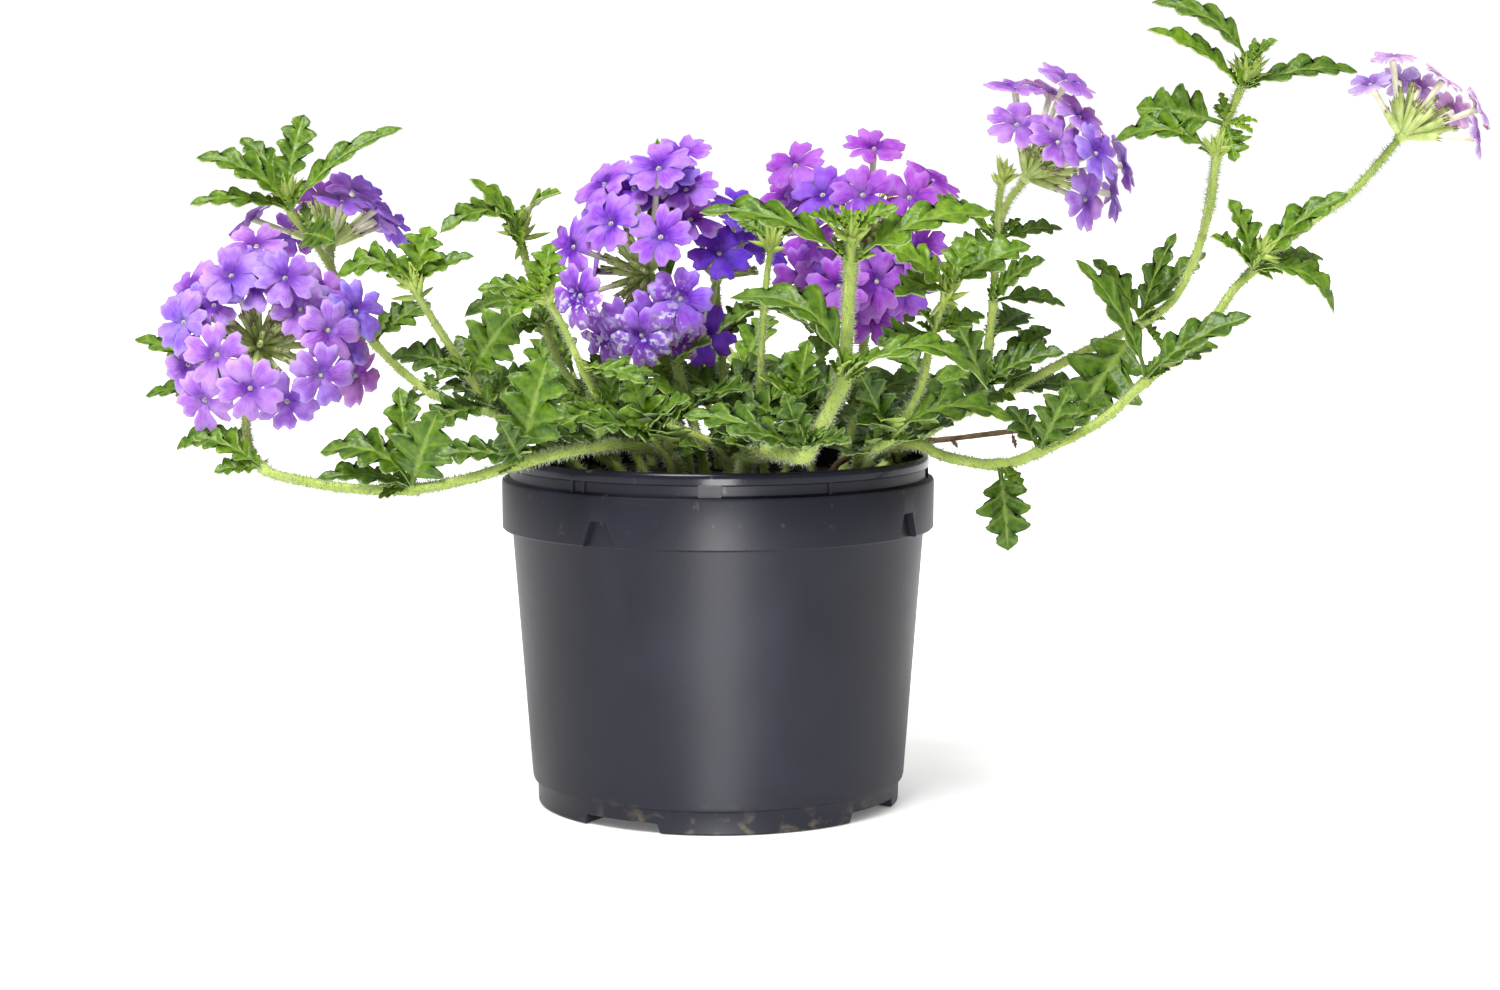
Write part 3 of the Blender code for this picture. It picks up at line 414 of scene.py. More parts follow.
HEADS = [
    Head("left_round_head", (-137.8, 137, -9), (-0.05, -1.0, 0.12), [
        (-146, 158.8, 27), (-129.4, 158.1, 27), (-138.1, 167.9, -31), (-158, 155.5, -28), (-161, 144.5, 27),
        (-150.8, 134.5, 28), (-140.8, 124.3, 30), (-119, 128.3, 29), (-116.5, 142, 27), (-118.4, 154.2, 25),
        (-160, 131.5, 24), (-155, 120.5, 27), (-129.4, 120, 22), (-107.7, 147.9, 32), (-108, 128.1, -33)],
        "petals_violet", (0.15, 0.045, 0.42), (0.34, 0.16, 0.66), (0.56, 0.38, 0.82)),
    Head("far_left_head", (-116, 167, 24), (0.1, 0.45, 0.85), [
        (-112, 181.2, 22), (-101.5, 178.9, 20), (-98, 174.5, -24), (-139.5, 175.9, 26), (-127, 171, -26),
        (-118, 181, -30), (-108.5, 184, -28)],
        "petals_violet", (0.09, 0.03, 0.32), (0.2, 0.075, 0.52), (0.34, 0.19, 0.68), 9.6, 0.4, True),
    Head("middle_head", (-20.8, 158.5, -4), (-0.45, -0.85, 0.2), [
        (-32.5, 174.2, 28), (-17.3, 170.1, 29), (-44, 167.1, 27), (-42, 152.2, 29), (-11.3, 151.3, 27),
        (-23.3, 140, 27), (-34.5, 139.8, 24), (-13, 139.7, 21), (-34.5, 186.2, 30), (-27, 188.2, -32),
        (-17.9, 191, 34), (-9.5, 184.7, 29), (-11, 195, -38), (-8, 175.9, 21),
        (-37, 159.8, -24)],
        "petals_violet", (0.11, 0.02, 0.4), (0.31, 0.095, 0.7), (0.54, 0.31, 0.86), bleached_below=160),
    Head("blue_head", (-0.5, 157.5, 20), (0.3, -0.6, 0.7), [
        (0.6, 165.5, 25), (9.5, 170.5, -20), (6.9, 178.7, 27), (14, 168, 20), (-4, 140.5, 22), (6, 170, -30)],
        "petals_blue", (0.04, 0.01, 0.28), (0.105, 0.03, 0.56), (0.21, 0.09, 0.72)),
    Head("magenta_head", (45, 170, 13), (0.05, -0.85, 0.45), [
        (31, 182.8, 28), (43.3, 182.8, 28), (57.6, 182, 27), (22.7, 191.7, 33), (19.8, 182.8, -28),
        (46.7, 196.9, 27), (64.7, 187.2, -29), (25.4, 157.8, 27), (27.3, 170.3, 22), (36, 155, 30),
        (47.6, 156.4, 26), (46.3, 145.6, 27), (60.8, 167.3, 25), (56.6, 155.1, 26)],
        "petals_violet", (0.13, 0.015, 0.34), (0.3, 0.06, 0.55), (0.46, 0.21, 0.7)),
    Head("right_head", (91.9, 187.4, 6), (0.6, -0.35, 0.7), [
        (88.5, 214.6, 28), (89.2, 203.9, 27), (101.9, 198.4, 28), (99.5, 213.2, -28), (103.9, 216.7, 34),
        (108.3, 206, 29), (113.5, 195, 31), (121.5, 191.6, -31), (110.5, 181, 27), (118.1, 182.7, -28)],
        "petals_violet", (0.12, 0.035, 0.36), (0.28, 0.12, 0.56), (0.5, 0.32, 0.7), 10.0, 0.3, False),
    Head("far_right_head", (203.4, 199.4, -5), (0.55, 0.1, 0.82), [
        (200.5, 223.3, 25), (193.7, 215.7, 22), (202.4, 216.4, -26), (216, 216.9, 22), (208.5, 214.5, -27),
        (219, 207.3, -26), (226.9, 208.1, 26), (226.4, 199.4, 25)],
        "petals_pale", (0.2, 0.09, 0.36), (0.42, 0.28, 0.58), (0.62, 0.5, 0.74), 7.1, 0.2, False),
]
HUBS = {head.name: head.hub for head in HEADS}
HUB_RADIUS = 2.6
PETAL_COLUMNS = 6
PETAL_ROWS = 4
PETAL_THICKNESS = 0.22
CALYX_SHARE = 0.5
CALYX_TEETH = 5
FLORET_PETALS = 5
CENTRE_CALYCES = 30
EXTRA_FROM = math.radians(50)
EXTRA_GAPS = (13, 24)
EXTRA_REACH = 0.88
CROWDED = 7.5
TUBE_RADII = (0.6, 0.85, 1.0, 1.1, 1.0)
CALYX_RADIUS = 1.25
STEM_HAIR_WIDTH = 0.11


def place(across, up, back):
    """The point seen at this spot of the front drawing, lying this many millimetres behind the pot's axis."""
    eye = EYE / MM
    return (eye + (Vector((across, 0.0, up)) - eye) * (1 - back / eye.y)) * MM


class Tissue:
    """Parts of one grown piece, gathered before they become its mesh.

    Each corner has a growth value: how far across its leaf or petal it lies, how far along, and a tint.
    """

    def __init__(self):
        self.corners, self.growth, self.faces, self.finishes = [], [], [], []

    def add(self, shape):
        """Adds a bmesh, with the growth from its layer and the finish from each of its faces."""
        layer = shape.verts.layers.float_vector["growth"]
        shape.verts.index_update()
        first = len(self.corners)
        self.corners += [corner.co.copy() for corner in shape.verts]
        self.growth += [corner[layer].copy() for corner in shape.verts]
        self.faces += [[first + corner.index for corner in face.verts] for face in shape.faces]
        self.finishes += [face.material_index for face in shape.faces]
        shape.free()

    def stamp(self, pattern, seat, finish, tint=0.5):
        """Adds a copy of a small pattern, set in its seat."""
        corners, faces = pattern
        first = len(self.corners)
        self.corners += [seat @ corner for corner in corners]
        self.growth += [Vector((0.5, 0.5, tint))] * len(corners)
        self.faces += [[first + number for number in face] for face in faces]
        self.finishes += [finish] * len(faces)

    def make(self, name, finishes, nodes, slot):
        """The finished piece."""
        mesh = bpy.data.meshes.new(name)
        mesh.from_pydata(self.corners, [], self.faces)
        mesh.polygons.foreach_set("material_index", self.finishes)
        layer = mesh.attributes.new("growth", "FLOAT_VECTOR", "POINT")
        layer.data.foreach_set("vector", [number for value in self.growth for number in value])
        return finished(mesh, finishes, nodes)


def pattern_of(shape):
    """The corners and faces of a small shape that is set out many times."""
    bmesh.ops.remove_doubles(shape, verts=shape.verts, dist=1e-6)
    bmesh.ops.recalc_face_normals(shape, faces=shape.faces)
    shape.verts.index_update()
    corners = [corner.co.copy() for corner in shape.verts]
    faces = [[corner.index for corner in face.verts] for face in shape.faces]
    shape.free()
    return corners, faces


def spike_pattern():
    """A three-sided spike, one millimetre in radius and in height, for hairs and for the teeth of a calyx."""
    shape = bmesh.new()
    bmesh.ops.create_cone(shape, cap_ends=True, segments=3, radius1=MM, radius2=0, depth=MM,
                          matrix=Matrix.Translation((0, 0, 0.5 * MM)))
    return pattern_of(shape)


SPIKE = spike_pattern()
CUP_PROFILE = [(0, 0), (0.45, 0), (0.8, 0.08), (1.0, 0.35), (0.95, 0.72), (0.8, 0.94), (0, 0.94)]
BUD_PROFILE = [(0, 0), (0.5, 0), (0.95, 0.25), (1.0, 0.5), (0.6, 0.78), (0.22, 0.94), (0, 1.08)]
CALYX_CUP = pattern_of(turned(CUP_PROFILE, 7))
CLOSED_BUD = pattern_of(turned(BUD_PROFILE, 6))


def seat_of(foot, way, radius, length):
    """The seat of a pattern: where its foot stands, which way it points, and its radius and length."""
    side = way.orthogonal().normalized()
    directions = Matrix((side * radius, way.cross(side) * radius, way * length))
    return Matrix.Translation(foot) @ directions.transposed().to_4x4()


class Ring(NamedTuple):
    """One ring of a tube: its middle, its directions and its radius in metres."""

    middle: Vector
    side: Vector
    up: Vector
    along: Vector
    radius: float

    def at(self, angle):
        """The point of the ring at an angle round it."""
        return self.middle + (self.side * math.cos(angle) + self.up * math.sin(angle)) * self.radius


def tube(points, radii, finish, sides, tint=0.5):
    """A tube through these points: a grid rolled up and closed at its ends. Comes with the tube's rings."""
    rings = []
    side = Vector((0, 0, 1)).cross(points[1] - points[0])
    side = side.normalized() if side.length > 1e-7 else Vector((1, 0, 0))
    for number, (point, radius) in enumerate(zip(points, radii)):
        ahead, behind = points[min(number + 1, len(points) - 1)], points[max(number - 1, 0)]
        along = (ahead - behind).normalized()
        side = (side - along * side.dot(along)).normalized()
        rings.append(Ring(point, side, along.cross(side), along, radius * MM))
    shape = bmesh.new()
    layer = shape.verts.layers.float_vector.new("growth")
    bmesh.ops.create_grid(shape, x_segments=sides, y_segments=len(rings) - 1, size=0.5)
    for corner in shape.verts:
        turn, ring = corner.co.x + 0.5, rings[round((corner.co.y + 0.5) * (len(rings) - 1))]
        corner[layer] = Vector((turn, 0.0, tint))
        corner.co = ring.at(turn * math.tau)
    bmesh.ops.remove_doubles(shape, verts=shape.verts, dist=2e-6)
    bmesh.ops.holes_fill(shape, edges=[edge for edge in shape.edges if edge.is_boundary])
    bmesh.ops.recalc_face_normals(shape, faces=shape.faces)
    for face in shape.faces:
        face.material_index = finish
    return shape, rings


def thick_sheet(shape, thickness, upper, finish, under):
    """The sheet with its thickness, one finish on its upper side and one below."""
    bmesh.ops.remove_doubles(shape, verts=shape.verts, dist=2e-6)
    raised = bmesh.ops.extrude_face_region(shape, geom=shape.faces[:], use_keep_orig=True)["geom"]
    lifted = [part for part in raised if isinstance(part, bmesh.types.BMVert)]
    bmesh.ops.translate(shape, vec=upper * thickness * MM, verts=lifted)
    bmesh.ops.recalc_face_normals(shape, faces=shape.faces)
    for face in shape.faces:
        face.material_index = under
    for part in raised:
        if isinstance(part, bmesh.types.BMFace):
            part.material_index = finish
    return shape


def hair(fuzz, root, way, length, thickness):
    """One fine hair, rooted a little under the surface."""
    fuzz.stamp(SPIKE, seat_of(root - way * 0.15 * MM, way, thickness, length), 0)


def hairy_tube(fuzz, draw, rings, density, length):
    """Hairs all round a tube, this many to a millimetre of it."""
    for near, far in zip(rings, rings[1:]):
        count = (far.middle - near.middle).length / MM * density
        for _ in range(int(count + draw.random())):
            share, angle = draw.random(), draw.uniform(0, math.tau)
            out = near.side * math.cos(angle) + near.up * math.sin(angle)
            root = near.at(angle).lerp(far.at(angle), share)
            way = out + near.along * draw.uniform(-0.35, 0.5) + near.side * draw.uniform(-0.3, 0.3)
            hair(fuzz, root, way.normalized(), length * draw.uniform(0.55, 1.15), STEM_HAIR_WIDTH)


def hairy_stick(fuzz, draw, foot, way, radius, length, count):
    """Hairs on a calyx or a bud that stands on its foot."""
    side = way.orthogonal().normalized()
    for _ in range(count):
        out = Matrix.Rotation(draw.uniform(0, math.tau), 3, way) @ side
        root = foot + (way * draw.uniform(0.1, 0.9) * length + out * radius * 0.9) * MM
        hair(fuzz, root, (out + way * draw.uniform(0.0, 0.8)).normalized(), draw.uniform(0.4, 0.8), 0.06)


def calyx(tissue, fuzz, draw, foot, way, length, radius, tint):
    """A narrow hairy calyx with five fine teeth, standing on its foot."""
    tissue.stamp(CALYX_CUP, seat_of(foot, way, radius, length), CALYX, tint)
    side = way.orthogonal().normalized()
    for tooth in range(CALYX_TEETH):
        out = Matrix.Rotation(math.tau * tooth / CALYX_TEETH + draw.uniform(-0.2, 0.2), 3, way) @ side
        root = foot + (way * length * 0.86 + out * radius * 0.62) * MM
        lean = way * draw.uniform(1.6, 2.6) + out * draw.uniform(0.1, 0.7)
        tissue.stamp(SPIKE, seat_of(root, lean.normalized(), 0.36, lean.length), CALYX_TIP, tint)
    hairy_stick(fuzz, draw, foot, way, radius, length, round(length * 2))


def petal_sheet(seat, length, spread, turn, draw, tint):
    """One notched petal as a sheet, rippled at its rim and falling into the throat at its foot."""
    shape = bmesh.new()
    layer = shape.verts.layers.float_vector.new("growth")
    bmesh.ops.create_grid(shape, x_segments=PETAL_COLUMNS, y_segments=PETAL_ROWS, size=1.0)
    notch, droop = draw.uniform(0.15, 0.25), draw.uniform(0.3, 1.5)
    phase, ripple, skew = draw.uniform(0, math.tau), draw.uniform(0.25, 0.65), draw.uniform(-0.06, 0.06)
    lift = draw.uniform(-0.25, 0.45)
    for corner in shape.verts:
        across, along = corner.co.x, (corner.co.y + 1) / 2
        rim = length * (1 - notch * math.exp(-(across / 0.24) ** 2) - 0.3 * abs(across) ** 3.5)
        rim += 0.12 * math.sin(across * 23 + phase)
        out = 0.75 + (rim - 0.75) * along ** 0.9
        parting = min(max((along - 0.2) / 0.3, 0.0), 1.0)
        wide = math.radians(spread * (1.1 - 0.22 * parting * parting * (3 - 2 * parting)))
        angle = turn + across * wide + skew * along
        height = -droop * along ** 2.2 + ripple * math.sin(across * 4.2 + phase) * along ** 2
        height += 0.35 * math.cos(across * math.pi) * along * (1 - 0.4 * along) + lift * along
        height -= 1.3 * (1 - along) ** 7
        corner.co = seat @ (Vector((math.cos(angle) * out, math.sin(angle) * out, height)) * MM)
        corner[layer] = Vector(((across + 1) / 2, along, tint))
    return shape


def petal_finish(head):
    """Soft petal tissue: dark round the throat, fine streaks along it, paler towards the rim."""
    made, tree, shader = finish_of(head.name + "_petals", 0.55, Subsurface_Weight=0.25,
                                   Subsurface_Scale=0.002, Specular_IOR_Level=0.2)
    grown = node(tree, "ShaderNodeAttribute", attribute_name="growth")
    parts = node(tree, "ShaderNodeSeparateXYZ", {0: grown.outputs["Vector"]})
    across, along, tint = parts.outputs
    body = ramp(tree, along, [(0.0, head.deep), (0.2, head.deep), (0.45, head.middle), (0.7, head.middle),
                              (1.0, head.pale)])
    spread = node(tree, "ShaderNodeCombineXYZ", {"X": sum_of(tree, "MULTIPLY", across, 24.0),
                                                 "Y": sum_of(tree, "MULTIPLY", along, 1.6),
                                                 "Z": sum_of(tree, "MULTIPLY", tint, 60.0)}).outputs[0]
    streaks = speckle(tree, spread, 1.0, 3.0)
    fine = ramp(tree, streaks, [(0.42, (0, 0, 0)), (0.62, (1, 1, 1))])
    fade = ramp(tree, along, [(0.1, (0.9,) * 3), (0.55, (0.5,) * 3), (1.0, (0.12,) * 3)])
    lined = mixed(tree, sum_of(tree, "MULTIPLY", fine, fade), body, head.deep)
    where = node(tree, "ShaderNodeTexCoord").outputs["Object"]
    cloudy = ramp(tree, speckle(tree, where, 150.0, 3.0), [(0.45, (0, 0, 0)), (0.68, (0.55,) * 3)])
    clouded = mixed(tree, cloudy, lined, head.pale)
    drift = sum_of(tree, "ADD", speckle(tree, where, 45.0, 1.0), sum_of(tree, "MULTIPLY", tint, 0.7))
    shifted = ramp(tree, drift, [(0.5, (0.74, 0.84, 1.1)), (0.8, (1.0,) * 3), (1.0, (1.14, 1.05, 1.03))])
    coloured = mixed(tree, 1.0, clouded, shifted, "MULTIPLY")
    if head.bleached_below:
        height = node(tree, "ShaderNodeSeparateXYZ", {0: where}).outputs["Z"]
        drop = sum_of(tree, "SUBTRACT", head.bleached_below * MM, height)
        low = ramp(tree, sum_of(tree, "MULTIPLY", drop, 100.0), [(0.0, (0, 0, 0)), (1.0, (0.9,) * 3)])
        patches = ramp(tree, speckle(tree, where, 55.0, 1.0), [(0.42, (0, 0, 0)), (0.52, (1, 1, 1))])
        flecks = ramp(tree, speckle(tree, where, 560.0, 4.0), [(0.52, (0, 0, 0)), (0.58, (1, 1, 1))])
        bleached = sum_of(tree, "MULTIPLY", sum_of(tree, "MULTIPLY", patches, flecks), low)
        coloured = mixed(tree, bleached, coloured, (0.78, 0.72, 0.86))
    tree.links.new(coloured, shader.inputs["Base Color"])
    raise_by(tree, shader, streaks, 0.0002, 0.6)
    return made


def green_finish(name, low, high, scale=300.0, roughness=0.55, relief=0.0001):
    """Soft plant tissue of one kind, from its dark tone to its light one."""
    made, tree, shader = finish_of(name, roughness, Specular_IOR_Level=0.35)
    where = node(tree, "ShaderNodeTexCoord").outputs["Object"]
    mottle = speckle(tree, where, scale, 3.0)
    tree.links.new(ramp(tree, mottle, [(0.3, low), (0.7, high)]), shader.inputs["Base Color"])
    raise_by(tree, shader, mottle, relief, 0.6)
    return made


CALYX, CALYX_TIP, TUBE_CREAM, THROAT, PETAL = range(5)
calyx_green = green_finish("calyx_green", (0.38, 0.51, 0.11), (0.7, 0.78, 0.34))
calyx_tip = green_finish("calyx_tip", (0.12, 0.06, 0.08), (0.36, 0.28, 0.16))
tube_cream = green_finish("tube_cream", (0.68, 0.64, 0.45), (0.85, 0.81, 0.63), 500.0)
throat_pale = green_finish("throat_pale", (0.3, 0.28, 0.36), (0.6, 0.6, 0.56), 900.0)
hair_pale = green_finish("hair_pale", (0.44, 0.5, 0.3), (0.7, 0.74, 0.56), 80.0)

for head in HEADS:
    draw = random.Random(head.name)
    details = random.Random(head.name + " details")
    hub = place(*head.hub)
    axis = Vector(head.axis).normalized()
    bloom, fuzz = Tissue(), Tissue()
    knob = bmesh.new()
    bmesh.ops.create_icosphere(knob, subdivisions=2, radius=HUB_RADIUS * 0.8 * MM)
    bloom.stamp(pattern_of(knob), Matrix.Translation(hub), CALYX)
    faces = []
    for across, up, reach in head.florets:
        spread = math.hypot(across - head.hub[0], up - head.hub[1])
        depth = math.copysign(math.sqrt(max(reach * reach - spread * spread, 0.0)), reach)
        faces.append((place(across, up, head.hub[2] - depth), draw.uniform(0, math.tau)))
    for first, second in itertools.combinations(list(faces), 2):
        gap = (first[0] - second[0]).length / MM
        spot = hub + (first[0].lerp(second[0], 0.5) - hub) * EXTRA_REACH
        crowded = min((spot - other).length for other, _ in faces) < CROWDED * MM
        apart = EXTRA_GAPS[0] < gap < EXTRA_GAPS[1]
        if head.full and apart and (spot - hub).angle(axis) > EXTRA_FROM and not crowded:
            faces.append((spot, details.uniform(0, math.tau)))
    for face, spin in faces:
        way = (face - hub).normalized()
        facing = (way * (1 - head.forward) + axis * head.forward).normalized()
        seat = Matrix.Translation(face) @ facing.to_track_quat("Z", "Y").to_matrix().to_4x4()
        seat = seat @ Matrix.Rotation(spin, 4, "Z")
        tint = details.uniform(0.1, 0.9)
        for petal in range(FLORET_PETALS):
            sheet = petal_sheet(seat, head.petal * details.uniform(0.95, 1.04), details.uniform(36, 39),
                                math.tau * petal / FLORET_PETALS, details,
                                tint + details.uniform(-0.12, 0.12))
            bloom.add(thick_sheet(sheet, PETAL_THICKNESS, facing, PETAL, PETAL))
        throat = face - facing * 1.4 * MM
        foot = hub + way * HUB_RADIUS * 0.6 * MM
        middle = foot.lerp(throat, 0.6)
        route = [foot, middle, middle.lerp(throat, 0.6), throat, face - facing * 1.1 * MM]
        bloom.add(tube(route, TUBE_RADII, TUBE_CREAM, 7)[0])
        bloom.stamp(CLOSED_BUD, seat_of(face - facing * 1.2 * MM, facing, 0.62, 0.8), THROAT)
        length = (face - foot).length / MM * CALYX_SHARE
        calyx(bloom, fuzz, details, foot, way, length, CALYX_RADIUS, tint)
    for _ in range(CENTRE_CALYCES):
        way = Vector([details.gauss(0, 1) for _ in range(3)]).normalized() * 0.75 + axis
        calyx(bloom, fuzz, details, hub, way.normalized(), details.uniform(12.0, 18.5),
              details.uniform(0.65, 0.95), 0.5)
    finishes = [calyx_green, calyx_tip, tube_cream, throat_pale, petal_finish(head)]
    bloom.make(head.name + "_florets", finishes, [head.name], head.slot)
    fuzz.make(head.name + "_hairs", [hair_pale], [head.name], "foliage")


# Leafy stems.
# Long soft stems that creep over the rim and rise at their ends. Toothed leaves with sunken veins and short
# side shoots of green buds grow on them, and fine white hairs cover the stems and the edges of the leaves.


class Leaf(NamedTuple):
    """A leaf on a stem: the route point it grows from, where its tip is drawn, and its width."""

    at: int
    tip: tuple
    width: float
    face: str = "up"
    arch: float = 0.12


class Branch(NamedTuple):
    """A side shoot: the route point it leaves from, its own route, its radius, and what it ends in."""

    at: int
    route: list
    radius: float
    bud: bool = False
    carries: str = ""


class Stem(NamedTuple):
    """A leafy stem: its route from the soil, what grows on it, and the head that it carries."""

    name: str
    radius: float
    route: list
    leaves: list
    branches: list = []
    bud: bool = False
    carries: str = ""


